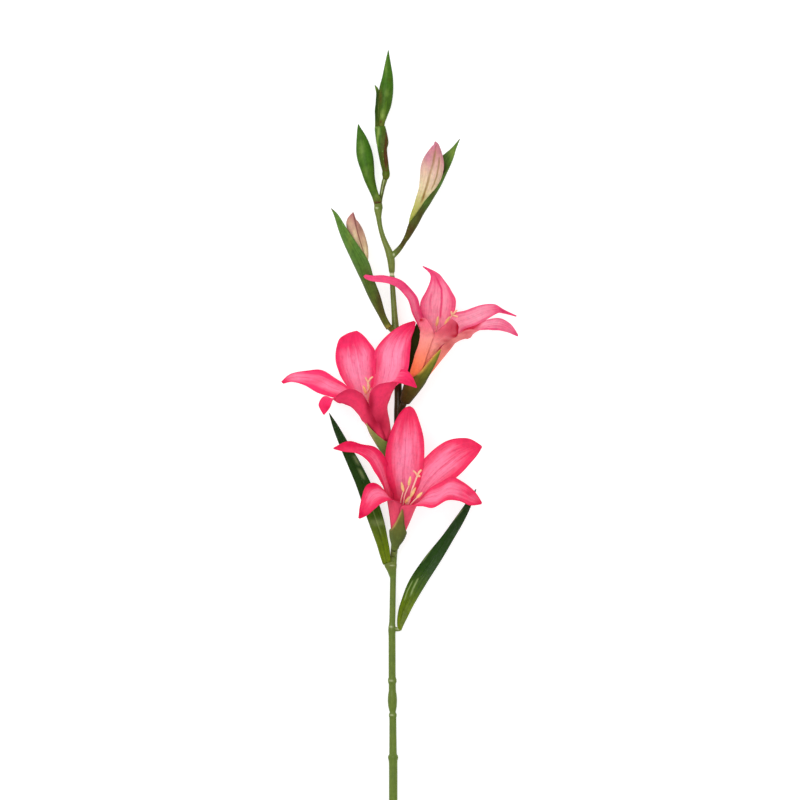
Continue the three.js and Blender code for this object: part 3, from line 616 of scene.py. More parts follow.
# Green pieces: colours from root to tip, streaks, a dark one where darkness is 1 and a pale one at -1,
# which carry real stains and also painted shade and painted highlights
def greenMaterial(name, look):
    material, tree, shader, read = newMaterial(name, look)
    follow = {mark.capitalize(): read[mark] for mark in ("along", "across", "tone")}
    follow.update({"Count": look["count"], "Run": look["run"]})
    streaks = put(tree, "Group", {"node_tree": lengthwiseStreaks}, follow)
    broad, fine = streaks.outputs["Broad"], streaks.outputs["Fine"]
    ramp = put(tree, "ValToRGB", None, {"Fac": read["along"]})
    stops = look["stops"]
    for at, colour in stops[1:-1]:
        ramp.color_ramp.elements.new(at)
    for element, (at, colour) in zip(ramp.color_ramp.elements, stops):
        element.color = paint(*colour)
    colour = ramp.outputs[0]
    streak, streakColour = look["streak"], paint(*look["streakColour"])
    colour = mix(tree, times(tree, band(tree, broad, 0.45, 0.65), streak), colour, streakColour)
    colour = mix(tree, times(tree, band(tree, fine, 0.45, 0.62), streak * 0.8), colour, streakColour)
    colour = mix(tree, times(tree, read["blush"], 1.0, True), colour, paint(*look["dark"]))
    pale = paint(*look.get("pale", look["dark"]))
    colour = mix(tree, times(tree, read["blush"], -1.0, True), colour, pale)
    height = plus(tree, fine, times(tree, broad, 0.6))
    finishMaterial(tree, shader, colour, height, look["depth"], look.get("mottle", 0.2))
    return material


# Camera, floor and light
view = {
    "centre": (400, 400),  # the sheet's place in the middle of the picture
    "span": 800,  # of the sheet, across the picture
    "lens": 300.0,
    "sensor": 36.0,
    "height": 15,  # where the picture's scale is true, above the table
}


def makeCamera():
    data = bpy.data.cameras.new("viewCamera")
    data.lens = view["lens"]
    data.sensor_width = view["sensor"]
    camera = bpy.data.objects.new("viewCamera", data)
    away = view["span"] * mm * view["lens"] / view["sensor"]
    spot = place((*view["centre"], view["height"]))
    camera.location = (spot[0], spot[1], spot[2] + away)
    data.clip_end = 4 * away
    bpy.context.scene.collection.objects.link(camera)
    bpy.context.scene.camera = camera


def makeFloor():
    reach = 6.0
    drop = -0.15 * mm
    mesh = bpy.data.meshes.new("floor")
    corners = [(x * reach, y * reach, drop) for x, y in ((-1, -1), (1, -1), (1, 1), (-1, 1))]
    mesh.from_pydata(corners, [], [(0, 1, 2, 3)])
    material = bpy.data.materials.new("paleFloor")
    material.use_nodes = True
    shader = material.node_tree.nodes["Principled BSDF"]
    setInputs(shader, {
        "Base Color": (0.5, 0.5, 0.497, 1),
        "Roughness": 0.9,
        "Specular IOR Level": 0.1,
        "Emission Color": (1, 1, 1, 1),
        "Emission Strength": 0.7,  # as on a light table
    })
    mesh.materials.append(material)
    floor = bpy.data.objects.new("floor", mesh)
    bpy.context.scene.collection.objects.link(floor)


# Each lamp: place, size in metres, and power in watts
lamps = {
    "keyLamp": ((-1.3, 0.9, 2.2), 2.4, 32),
    "fillLamp": ((1.5, -0.9, 2.0), 2.4, 9),
    "glossLamp": ((-0.42, 0.34, 2.6), 0.3, 30),
}


def makeLight():
    for name, (spot, size, power) in lamps.items():
        data = bpy.data.lights.new(name, "AREA")
        data.size = size
        data.energy = power
        lamp = bpy.data.objects.new(name, data)
        lamp.location = spot
        lamp.rotation_mode = "QUATERNION"
        lamp.rotation_quaternion = lamp.location.to_track_quat("Z", "Y")
        lamp.visible_diffuse = name != "glossLamp"  # the gloss lamp only shows in reflections
        bpy.context.scene.collection.objects.link(lamp)
    world = bpy.data.worlds.new("studio")
    world.use_nodes = True
    setInputs(world.node_tree.nodes["Background"], {"Color": (1, 1, 1, 1), "Strength": 0.76})
    bpy.context.scene.world = world
    bpy.context.scene.view_settings.view_transform = "Standard"


makeCamera()
makeFloor()
makeLight()
print("Camera, floor and light are ready")


# The three blooms
petalForm = {
    "steps": 96, "columns": 40, "thick": 0.55,
    "thin": 0.4,  # the margin's share of the thickness
    "rib": 0.4, "ribWidth": 0.07, "keel": 0.0,
    "waves": 2.6, "wave": 0.45, "veins": 11, "vein": 0.04,
}
cupForm = {
    "steps": 56, "columns": 96, "floorRows": 6, "thick": 0.8,
    "lift": 2.6,  # off the funnel's wall
    "clear": 0.6,  # from its floor to the end of its nub
    "vein": 0.1, "veins": 14, "flare": -0.5,
}
bractForm = {
    "steps": 60, "columns": 20, "thick": 0.8, "thin": 0.35,
    "rib": 0.15, "ribWidth": 0.1, "keel": 0.03,
    "waves": 1.5, "wave": 0.2, "veins": 9, "vein": 0.07,
}
footForm = {"length": 4, "spare": 0.1, "rings": 9, "sides": 24}
stamenForm = {
    "stand": 4.4,  # from the funnel's first ring to the foot of the column
    "column": (1.4, 1.1),  # its radius at foot and top
    "top": 1.9,  # the funnel's ring where it ends
    "parting": (1.75, 0.65),  # the ring where the threads leave it, and their radius there
    "slim": 0.8,  # of a thread's given radius
    "sides": 10, "steps": 26,
    "anther": [(0, 0.5), (0.08, 1.0), (0.3, 1.5), (0.6, 1.4), (0.85, 0.9), (1, 0.3)],
    "flat": 0.8,  # an anther's depth for its width
}
petalLook = {"roughness": 0.55, "subsurface": 0.08}
spatheLook = {"roughness": 0.5, "count": 9.0, "run": 1.5, "streak": 0.3, "depth": 0.12}
stamenMaterial = greenMaterial("stamenPaint", {
    "stops": [(0.0, (242, 150, 160)), (0.5, (248, 172, 170)), (1.0, (250, 200, 182))],
    "roughness": 0.5, "specular": 0.35, "subsurface": 0.1, "count": 3.0, "run": 6.0, "streak": 0.2,
    "streakColour": (238, 186, 158), "dark": (236, 184, 124), "depth": 0.08,
})

# A funnel is rings of place and radius. A rim is angles, each with the ring that the cup reaches
# there. Threads and arms are rings like the funnel's, and an anther is the places of its two ends.
lowerBloom = {
    "funnel": [
        [395.4, 545, 16, 2.6], [397.6, 534, 21, 5.8], [400.2, 518, 26, 10.1], [402.5, 501, 31, 15.1],
    ],
    "root": (394, 555, 7),  # where its nub leaves the stalk
    "foot": 7.0,  # from the funnel back to the end of the nub that carries it
    "snug": 1.3,  # how much closer the cup lies at its foot
    "petals": [
        petal(178, 40, -0.4, [
            [387.6, 480, 25, 420, 482, 25, 28], [385.2, 458, 30, 424.3, 458, 29, 20],
            [388.5, 438, 33.5, 423.4, 437, 31.5, 14], [396.8, 418, 34, 418.6, 419, 32, 10],
            [403.5, 408.8, 32, 414.4, 409.4, 31.6, 6], [408.2, 406.2, 31.5, 410.4, 406.2, 31.5, 2],
        ], strips=[(-1, 0.62, 0.9), (1, 0.75, 0.3)], stains=[
            # the first spot is painted shade deep in the throat
            (392.6, 489, 4, 12, 0.5), (405, 411, 11, 5, 0.75),
        ]),
        petal(112, 44, 0, [
            [414, 476, 23, 432, 494, 37, 25], [425, 457.5, 28.5, 447, 484, 39, 20],
            [446, 441, 34, 463, 471, 40, 15], [467, 438, 36, 476.5, 455.5, 39, 10],
            [480.5, 444.8, 35, 482, 446.8, 35.5, 3],
        ], strips=[(1, 0.55, 0.5)], stains=[(468, 440, 14, 4, 0.8)]),
        petal(45, 48, 0.4, [
            [429, 488.5, 42, 421, 505.8, 46.5, 22], [441, 481.5, 45, 433, 507.5, 48, 16],
            [451, 476.5, 47, 446, 500.2, 48, 12], [462, 481, 45, 458, 500.5, 45.5, 10],
            [474, 490.5, 41, 470, 505, 41, 8], [481.8, 502, 37.5, 481.2, 504, 37.5, 2],
        ], blush=0.1, strips=[(-1, 0.6, 0.5)], stains=[
            # the second spot is painted shade where the tube meets the cup's rim
            (474, 498, 6, 4, -0.7), (406.2, 525.6, 2.6, 7, 0.8),
        ]),
        petal(-115, 42, 0.4, [
            [384, 489, 35, 391, 476, 22, 25], [377, 475.5, 37, 386, 459, 29.5, 20],
            [368, 461, 38, 376, 447.3, 34, 14], [356, 453, 39, 362, 444, 37.5, 12],
            [345, 451.7, 38, 348.5, 440.8, 38.5, 8], [333.9, 449, 35, 333.4, 447.6, 35, 2],
        ], blush=0.45, strips=[(1, 0.0, 0.6)], stains=[(352, 444, 10, 4, 0.7), (338, 449, 6, 5, 0.5)]),
        petal(-47, 50, 0, [
            [393, 500, 47.5, 384.5, 489.3, 38, 20], [383, 502, 48.5, 374, 482.3, 44, 16],
            [375, 508.5, 47, 365.5, 486.5, 46, 12], [367, 515, 43, 361, 501, 43.5, 8],
            [360, 518.4, 38, 358.4, 517.5, 38, 3],
        ], blush=0.35, strips=[(-1, 0.5, 0.4), (1, 0.5, 0.4)], stains=[
            # the first spot is painted shade where the tube meets the cup's rim
            (390.6, 528.6, 2.4, 5, 0.8), (360, 516, 6, 8, 1.0), (371, 484, 7, 3.4, 0.8),
        ]),
        petal(180, 34, 0.5, [
            [399, 480, 19, 419, 482, 20, 22], [400, 460, 22, 421.5, 460, 23, 16],
            [403, 440, 24, 420.5, 440, 25, 12], [407, 424, 25, 417, 424, 25.5, 8],
            [411.8, 414, 25, 413.2, 414, 25, 2],
        ]),
    ],
    "rim": [
        [-172, 1.1], [-120, 1.12], [-80, 1.2], [-42, 1.5], [-20, 1.9], [-8, 2.35], [3, 2.8], [14, 2.35],
        [25, 1.9], [45, 1.5], [84, 1.2], [120, 1.12], [172, 1.1],
    ],
    # Painted highlight down the cup's lit left edge, and painted shade down its right side
    "edgeStripsAndShading": [
        stroke(
            1.2, 0, 0, -0.9, (401.8, 509.4), (399.6, 515), (396.8, 521), (393.6, 526.6), (390.4, 530.6),
        ),
        stroke(1.1, 0, 0, 0.5, (403.6, 511), (404.4, 514), (404, 521), (404.4, 526), (406, 532)),
        stroke(2.6, 0, 0, 0.55, (406.4, 532), (404.6, 538), (400.6, 545), (398.4, 550)),
    ],
    "threads": [
        [[400.6, 502.4, 36, 0.7], [403.2, 491, 43, 0.6]],
        [[403.4, 502.6, 37, 0.7], [405, 494, 42, 0.65], [408.8, 485.5, 46.4, 0.6]],
        [[408.8, 502, 38, 1.2], [412.2, 489, 45, 1.1], [417.2, 475.4, 50, 0.95]],
        [[406, 505, 36, 0.7], [411.4, 495, 44.4, 0.6]],
        [[410, 505, 38, 0.75], [417.6, 496.6, 45.6, 0.7]], [[405, 507, 34, 0.7], [406.5, 502, 38, 0.6]],
    ],
    "arms": [
        [[417.2, 476, 49.6, 0.8], [415.8, 472.8, 50.5, 0.85], [413, 470.2, 51, 0.8]],
        [[417.2, 476, 49.6, 0.8], [418.6, 472.6, 50.5, 1.1], [421.3, 469.4, 51, 0.9]],
        [[416.8, 477, 49.4, 0.8], [418.4, 475.4, 50.4, 1], [420, 476.2, 51, 0.8]],
    ],
    "anthers": [
        [403.6, 491.4, 43.2, 401.3, 481.6, 46], [408.6, 485.2, 46.6, 410.4, 475.8, 49],
        [410.4, 496.6, 44, 415.6, 487, 47.5], [416.6, 497.4, 45.4, 422.2, 491.8, 48],
        [405.2, 502.6, 38, 410, 495.8, 42],
    ],
    "petalLook": {
        "Heart": (250, 134, 168), "Edge": (239, 54, 98), "Deep": (216, 14, 70), "Vein": (214, 44, 90),
        "Throat": (218, 48, 88), "Back": (232, 78, 106), "Tube": (198, 50, 78), "Flush": (152, 18, 50),
        "Margin": 0.1, "Seam": 0.84, "Join": 0.8, "Climb": -0.15,
    },
    "spatheLook": {
        "stops": [
            (0.0, (90, 100, 40)), (0.35, (84, 92, 40)), (0.7, (102, 98, 42)), (1.0, (124, 98, 42)),
        ],
        "streakColour": (86, 108, 52), "dark": (60, 62, 22), "pale": (178, 132, 82),
    },
}

middleBloom = {
    "funnel": [
        [390, 455.5, 17.8, 2.6], [385.7, 443, 21.6, 6.4], [379.8, 426, 27.4, 10.6],
        [369, 401, 35, 14.5],
    ],
    "root": (394.4, 465, 9.4),
    "foot": 4.2,
    "snug": 0.0,
    "petals": [
        petal(-165, 40, -0.4, [
            [349, 388.5, 28, 375, 386, 22, 25], [340, 375, 28, 376, 367, 24, 20],
            [335.6, 357.5, 28, 375.4, 351.5, 26, 14], [338.3, 341, 27, 367.6, 340, 27, 10],
            [345.5, 334.4, 26.4, 362, 334, 26.4, 6], [353.6, 331.4, 25.6, 357, 330.8, 25.6, 2],
        ], stains=[(343, 337, 7, 8, 0.9)]),
        petal(150, 42, 0, [
            [370.5, 386, 22.5, 397.5, 385, 30, 22], [372.8, 366, 24, 407.6, 370.5, 29.5, 18],
            [375.2, 350, 26, 410.2, 353, 28, 14], [386.5, 336, 27, 411.2, 339.5, 27, 10],
            [401, 325.4, 27, 414.4, 330, 26.5, 6], [414, 320.8, 26, 415.8, 322.4, 26, 2],
        ]),
        petal(-100, 42, 0, [
            [349, 399, 36, 347, 386, 28, 22], [333, 397.3, 34, 336, 378.5, 29, 18],
            [318, 393, 27, 322, 370, 25, 12], [304.5, 385.3, 16, 306.5, 370.6, 15, 12],
            [292, 382, 6, 290.5, 373.7, 6, 10], [283, 383.8, 0.3, 280.9, 381.6, 0.3, 2],
        ], blush=0.3, stains=[(293, 377, 11, 6, -1.1), (318, 381, 9, 5, 0.25)]),
        petal(-42, 48, 0.4, [
            [366, 399, 49, 358, 414.5, 33, 34], [358.5, 391.5, 51.5, 350.2, 406.6, 36, 20],
            [349, 388.8, 52, 343.5, 403.4, 38.5, 14], [339, 394, 51, 338, 402.8, 41, 10],
            [333, 401, 48, 325, 396.2, 38, 5], [329.5, 408.5, 44, 318.7, 404.5, 37.5, 6],
            [324.6, 414.8, 39, 323.6, 414.6, 38.6, 2],
        ], rings=3, blush=0.1, strips=[(-1, 0.2, 0.35)], stains=[
            (368.5, 402, 3, 14, 0.6), (374, 424, 6, 12, 0.7), (326, 407, 5, 5, 0.8),
        ]),
        petal(48, 50, 0, [
            [387.6, 408, 30, 370.8, 410.5, 45.5, 46], [389.5, 398.5, 34, 368.9, 400, 50, 44],
            [394.2, 389.5, 37, 371.8, 390.8, 53.5, 40], [398.2, 381, 38.5, 378, 384.8, 55.2, 36],
            [400.3, 370, 40, 388.5, 382.7, 55.6, 30], [407.5, 371, 43, 398.5, 383.2, 54.5, 22],
            [412.5, 377.5, 46, 408, 385.2, 51.5, 12], [417, 387, 46, 416.2, 388.2, 46.5, 3],
        ], rings=3, blush=0.1, stains=[
            (371, 404, 3.4, 15, 0.8), (379, 427, 8, 12, 1.0), (386, 396, 6, 10, -0.2),
        ]),
        petal(178, 34, 0.5, [
            [362, 380, 17.5, 385, 382, 18, 22], [366, 364, 18, 394, 366, 19, 16],
            [377, 351.5, 19.5, 400, 352, 20.5, 12], [386, 341, 20.5, 399, 340, 21, 8],
            [395.3, 333, 21, 396.7, 333.2, 21, 2],
        ]),
    ],
    "rim": [
        [-230, 1], [-180, 1.05], [-140, 1.15], [-110, 1.35], [-88, 1.7], [-70, 2.05], [-54, 2.4],
        [-42, 2.1], [-25, 1.75], [0, 1.35], [25, 1.12], [60, 1.02], [114, 1],
    ],
    "edgeStripsAndShading": [
        stroke(1.1, 0, 0, -0.6, (368.5, 421), (369.4, 428), (372.6, 437), (377, 446)),
        stroke(1.6, 0, 0, -0.5, (368.8, 422), (376, 433), (381.4, 438.4), (387.2, 442.4)),
    ],
    "threads": [
        [[368, 399, 38, 1], [368.4, 388, 43, 0.9], [368.2, 381, 45.5, 0.9]],
        [[366, 400, 39, 0.7], [365.3, 391, 42.5, 0.6]], [[369, 400, 36, 0.7], [371.5, 388, 41, 0.6]],
    ],
    "arms": [
        [[368.3, 382.5, 45, 0.9], [366.8, 379.6, 46, 0.9], [365.6, 377.6, 46.5, 0.8]],
        [[368.3, 382.5, 45, 0.9], [370.6, 378.8, 46, 1], [373, 376.8, 46.5, 0.7]],
    ],
    "anthers": [[366.2, 393.6, 41.8, 363.2, 385.3, 45], [369.2, 390, 42.2, 368, 381, 44.6]],
    "petalLook": {
        "Heart": (252, 148, 182), "Edge": (242, 48, 102), "Deep": (218, 12, 72), "Vein": (222, 56, 108),
        "Throat": (252, 164, 188), "Back": (230, 60, 92), "Tube": (174, 6, 48), "Flush": (150, 2, 40),
        "Margin": 0.1, "Seam": 0.45, "Join": 0.85, "Climb": -0.15,
    },
    "spatheLook": {
        "stops": [
            (0.0, (88, 98, 36)), (0.4, (104, 116, 50)), (0.85, (126, 128, 68)), (1.0, (170, 150, 96)),
        ],
        "streakColour": (80, 96, 44), "dark": (60, 70, 30), "pale": (168, 140, 86),
    },
}

upperBloom = {
    "funnel": [
        [405.5, 400, 18.5, 2.8], [413, 385, 22.5, 6.5], [423, 366, 27.5, 10.5], [435.5, 341, 33, 16],
    ],
    "root": (399, 411, 10.6),
    "foot": 4.2,
    "snug": 0.0,
    "petals": [
        petal(-115, 42, 0.4, [
            [412.3, 315, 37, 421, 311, 27, 20], [406.8, 298, 38, 416.5, 296.5, 30, 16],
            [396, 287.3, 37, 403, 281.5, 32, 14], [383, 283, 34, 386, 275.9, 32, 12],
            [371, 281.2, 31, 372.5, 275.7, 30, 8], [364.9, 278.6, 29, 365.3, 274.8, 29, 3],
            [363.6, 276.8, 29, 363.7, 276.2, 29, 1],
        ], blush=0.5, strips=[(1, 0.0, 0.4)], stains=[(402, 288, 12, 5, 0.3)]),
        petal(178, 42, 0, [
            [421.5, 317, 24, 452, 322, 24, 25], [420.5, 302.5, 27, 456, 302, 27, 18],
            [426.5, 290, 29, 451, 290.5, 29, 14], [430.2, 280, 30, 444.5, 281, 30, 12],
            [429.6, 273.8, 31, 437.5, 273, 31, 8], [422.4, 267.2, 32, 422.8, 266, 32, 2],
        ], stains=[(431, 274, 9, 7, 0.7)], creases=[
            stroke(1.1, 0.5, 0.4, 0.95, (436.4, 277.5), (441.5, 289.5), (441.8, 300), (440, 320)),
            stroke(1.0, 0.2, 0.1, 0.5, (431.5, 292), (430.6, 303), (431.4, 316)),
        ]),
        petal(122, 40, -0.4, [
            [450, 316, 24, 462, 331, 30, 22], [466, 310.3, 26, 474, 326, 29, 16],
            [482, 304.8, 21, 487, 319.3, 21, 12], [495, 304.3, 13, 498, 313.2, 12.5, 10],
            [505, 309.8, 5.5, 504.5, 313.6, 5.3, 6], [517, 315.4, 0.3, 516.4, 316.6, 0.3, 1],
        ], blush=-0.1, stains=[(505, 310, 9, 6, 1.0), (513, 314, 6, 4, 0.4)]),
        petal(72, 42, 0.4, [
            [451.6, 345.6, 26, 441.5, 347.2, 42.5, 46], [455.6, 337.6, 24.5, 447.6, 341.6, 44.4, 50],
            [462, 328, 23.5, 459.6, 333.2, 45.5, 80], [470, 325.5, 21, 469, 329.6, 42, 84],
            [477, 323.5, 22, 476.8, 330, 35, 64], [484, 320.5, 22, 484, 330.3, 28.5, 30],
            [499, 318, 16, 498.5, 330.3, 17, 12], [511, 324, 6.5, 509.5, 333, 6.5, 8],
            [518.6, 335, 0.3, 517.6, 336.4, 0.3, 2],
        ], rings=3, mouth=1.4, blush=-0.1, stains=[
            # the first two spots are painted shade along the petal's fold
            (465, 332.6, 9, 2.6, 0.6), (486, 329, 14, 3.4, 0.55), (511, 329, 5, 4, -0.5),
            (449, 347, 10, 10, 0.9), (467, 338, 10, 3.6, 0.5),
        ]),
        petal(-38, 42, 0.5, [
            [427.2, 355.5, 41.6, 414.9, 354.4, 29, 42], [430.6, 345, 46.6, 418.5, 344.2, 35.5, 37],
            [433.8, 335.4, 51, 420.2, 334, 42, 30], [432, 329, 53.4, 420, 327, 45.5, 24],
            [429.6, 324, 54.6, 418.7, 322.6, 48, 16], [426.8, 320.4, 54.4, 420.2, 319.4, 50.4, 8],
            [424.2, 318.2, 53.6, 423, 318.1, 53, 2],
        ], rings=3, mouth=2.6, stains=[
            (420.6, 320.4, 3.6, 2, 1.1), (426, 333, 8, 7, 0.2), (433, 334.5, 1.2, 3, 0.3),
        ]),
        petal(28, 42, -0.6, [
            [437, 352, 40, 426.6, 353, 40.4, 26], [441.8, 345.2, 44.4, 429.4, 343.6, 45, 30],
            [449.6, 340.6, 46.8, 432, 336.4, 49, 34], [456.6, 335.9, 47.4, 435.6, 332.6, 52.4, 34],
            [458.3, 330, 50, 440, 328.8, 56, 28], [457.4, 324.4, 53.8, 444.4, 325, 58.6, 20],
            [454.6, 321.2, 57.2, 448.6, 321.4, 60.2, 10], [452, 320, 59, 450.6, 320, 59.6, 2],
        ], rings=3, mouth=2, blush=0.2, stains=[
            (458.8, 329, 2.4, 8, 1.2), (453, 327, 7, 8, 0.45), (455, 336.6, 5, 2.4, 0.6),
            (447, 341.4, 5, 2.2, 0.5), (441, 332, 12, 6, 0.3), (439.6, 346, 3.4, 2.4, 0.45),
            # this paler spot is a painted highlight on the part that lies in shade
            (432, 350, 5, 7, -0.4),
        ]),
    ],
    "rim": [
        [-148, 0.7], [-110, 0.8], [-78, 0.98], [-40, 1.25], [-17, 1.48], [0, 1.8], [10, 2.22],
        [19, 2.58], [28, 2.92], [35, 2.66], [44, 2.34], [52, 2], [64, 1.6], [84, 1.3], [122, 1],
        [155, 0.8], [190, 0.7],
    ],
    "edgeStripsAndShading": [
        stroke(
            2.6, 0, 0, -0.9, (440.6, 349), (434.6, 354.5), (430.9, 359.4), (427.1, 363.1),
            (423.4, 368.1), (420.3, 371.8), (416, 376),
        ),
        stroke(
            2.4, 0, 0, 0.6, (440.4, 350), (438.8, 358), (435.6, 364.8), (431.4, 372), (428, 380),
            (420, 391),
        ),
        stroke(3.4, 0, 0, -0.12, (416, 377), (413, 383), (410, 391)),
    ],
    "backBract": [
        [403.5, 391, 16.5, 411, 393, 14.2, 20], [405, 374, 17, 420, 372, 13.2, 18],
        [405.5, 356, 19, 422, 355, 14.5, 15], [408.5, 340, 22, 421, 338, 17.5, 12],
        [413.5, 330, 24, 419.5, 329, 21, 8], [416.6, 323.4, 24.5, 417.4, 323.2, 24.4, 2],
    ],
    "threads": [
        [[441, 333, 38, 0.8], [448, 321, 43, 0.7], [452.5, 315, 45.5, 0.7]],
        [[434.5, 338, 37, 0.7], [436.4, 325.4, 43.2, 0.6]],
        [[439, 337, 37, 0.7], [444.9, 324, 43.4, 0.6]],
    ],
    "arms": [
        [[452, 316, 45.2, 0.8], [451.4, 313.8, 46, 1], [450.8, 311.8, 46.5, 0.8]],
        [[452, 316, 45.2, 0.8], [454.4, 312.8, 46, 1], [457, 310.4, 46.5, 0.8]],
        [[452, 316, 45.2, 0.8], [454.6, 316.2, 46, 1], [457.4, 317.4, 46.5, 0.8]],
    ],
    "anthers": [[436.3, 326.6, 43, 438, 316.6, 46.5], [444.6, 325, 43, 449.4, 317, 46.5]],
    "petalLook": {
        "Heart": (250, 154, 178), "Edge": (238, 84, 128), "Deep": (220, 44, 104),
        "Vein": (220, 88, 120), "Throat": (230, 96, 126), "Back": (252, 158, 150),
        "Tube": (240, 118, 68), "Flush": (178, 10, 42), "Margin": 0.3, "Seam": 0.88, "Join": 0.35,
        "Climb": 0.15,
    },
    "spatheLook": {
        "stops": [
            (0.0, (60, 34, 10)), (0.3, (82, 62, 20)), (0.62, (92, 92, 28)), (1.0, (152, 150, 48)),
        ],
        "streakColour": (52, 62, 22), "dark": (44, 62, 18), "pale": (214, 158, 74),
    },
}
blooms = {"lower": lowerBloom, "middle": middleBloom, "upper": upperBloom}


# The solid foot inside the base of a funnel
def footShell(funnel):
    centre, radius, ahead = funnelAt(funnel, 0)[:3]
    length, last = footForm["length"] * mm, footForm["rings"] - 1
    path = [centre + ahead * length * k / last for k in range(last + 1)]
    wide = np.full(last + 1, radius + footForm["spare"] * mm)
    return tubeShell(path, wide, wide, footForm["sides"])


def anther(ends, draw):
    foot, tip = ends[:3], ends[3:]
    rings = []
    for f, wide in stamenForm["anther"]:
        spot = [a + (b - a) * f for a, b in zip(foot, tip)]
        rings.append([*spot, wide, wide * stamenForm["flat"]])

    def twoLobes(along, angle):
        groove = np.exp(-((np.sin(angle) - 1) ** 2) / 0.02)
        return 1 - 0.3 * groove * ease(0, 0.2, along) * ease(0, 0.1, 1 - along)

    return podShell(rings, 18, 16, twoLobes, blush=1.0, tone=draw.random())


def makeStamens(name, node, bloom, draw):
    funnel = bloom["funnel"]
    sides, steps = stamenForm["sides"], stamenForm["steps"]
    centre, _, ahead = funnelAt(funnel, 0)[:3]
    line = [centre + ahead * stamenForm["stand"] * mm]
    line += [funnelAt(funnel, t)[0] for t in (1, stamenForm["top"])]
    count = 13
    path = through(np.array(line), np.linspace(0, 2, count))
    wide = np.linspace(*stamenForm["column"], count) * mm
    shells = [tubeShell(path, wide, wide, 12)]
    t, thick = stamenForm["parting"]
    parting = [*funnelAt(funnel, t)[0], thick * mm]
    for rings in bloom["threads"]:
        rows = [parting] + [[*place(ring), ring[3] * stamenForm["slim"] * mm] for ring in rings]
        made = through(rows, np.linspace(0, len(rows) - 1, steps))
        shells.append(tubeShell(made[:, 0:3], made[:, 3], made[:, 3], sides, tone=draw.random()))
    for rings in bloom["arms"]:
        shells.append(podShell(rings, 14, sides, blush=0.6, tone=draw.random()))
    for ends in bloom["anthers"]:
        shells.append(anther(ends, draw))
    makePiece(name, node, stamenMaterial, shells)


def makeBloom(name, bloom):
    label = name.capitalize()
    draw = random.Random("gladiolus " + label)
    paintOfPetals = petalMaterial("petalPaint" + label, {**petalLook, **bloom["petalLook"]})
    paintOfSpathe = greenMaterial("spathePaint" + label, {**spatheLook, **bloom["spatheLook"]})
    shells = [footShell(bloom["funnel"])]
    for given in bloom["petals"]:
        shells.append(petalShell(bloom["funnel"], given, petalForm, draw))
    makePiece("petals" + label, "bloom_" + name, paintOfPetals, shells)
    makeStamens("stamens" + label, "stamens_" + name, bloom, draw)
    cups = [cupShell(bloom, cupForm, draw)]
    if "backBract" in bloom:
        cups.append(bladeShell(onSheet(bloom["backBract"]), bractForm, draw, blush=1.0, tone=0.3))
    makePiece("spathe" + label, "spathe_" + name, paintOfSpathe, cups)
    print("Bloom " + label + " is ready")


for bloomName, bloomGiven in blooms.items():
    makeBloom(bloomName, bloomGiven)

# The stem
stemRings = [
    [393.2, 890, 3.8, 4.2], [393.2, 806, 3.8, 4.2], [393.2, 764, 4.1, 4.2], [393.1, 760.5, 4.2, 4.4],
    [393, 759.4, 4.2, 5.1], [393, 756.4, 4.2, 5.1], [393, 755.2, 4.2, 3.8], [392.9, 735, 4.3, 3.6],
    [392.8, 718, 4.4, 3.5], [392.8, 716.6, 4.4, 4], [392.8, 714.2, 4.4, 4], [392.7, 713, 4.5, 2.9],
    [392.5, 707.5, 4.6, 4.2], [392.3, 701, 4.7, 4.7, 4.5], [392.3, 695, 4.7, 4.3],
    [392.4, 691.5, 4.7, 3.6], [392.3, 684, 4.8, 3.5], [392.2, 682.6, 4.8, 4.3],
    [392.2, 679.4, 4.8, 4.3], [392.1, 678, 4.9, 3.5], [392, 634, 5.6, 3.5], [391.8, 631, 5.6, 3.9],
    [391.8, 626.8, 5.7, 3.6], [392.3, 623.5, 5.7, 3.1], [393, 581, 6.2, 3], [393.2, 562.8, 6.5, 3.3],
    [394, 551, 6.6, 3.5], [395.2, 541, 6.7, 3.4], [396.3, 520, 7.2, 3.4], [396, 500, 7.8, 3.4],
    [394.6, 480, 8.6, 3.6], [394, 466, 9.2, 4.2], [394.6, 456, 9.6, 4], [396, 442, 9.9, 3.7],
    [397.6, 425, 10.2, 3.7], [398.2, 411, 10.5, 4.2], [398.4, 398, 10.6, 3.9], [398, 385, 10.7, 3.8],
    [396.4, 350, 10.9, 3.6], [395.8, 333, 11, 4.1], [395.3, 325, 11, 3.5], [394.4, 313, 11.1, 3],
    [392.5, 286, 11.3, 2.6], [392.1, 277, 11.4, 2.8], [392, 275.6, 11.4, 2.3], [392, 273, 11.4, 2.3],
    [391.8, 271.5, 11.4, 3], [391.6, 262, 11.5, 3.7], [390.5, 255, 11.5, 3.9], [386.8, 246.5, 11.6, 3],
    [382.9, 237.5, 11.7, 2.5], [380, 227, 11.8, 2.3], [378.6, 217, 11.9, 2.7], [378, 211.5, 12, 3.8],
    [378.1, 208.5, 12, 4.3], [378.2, 206, 12, 4.1],
]
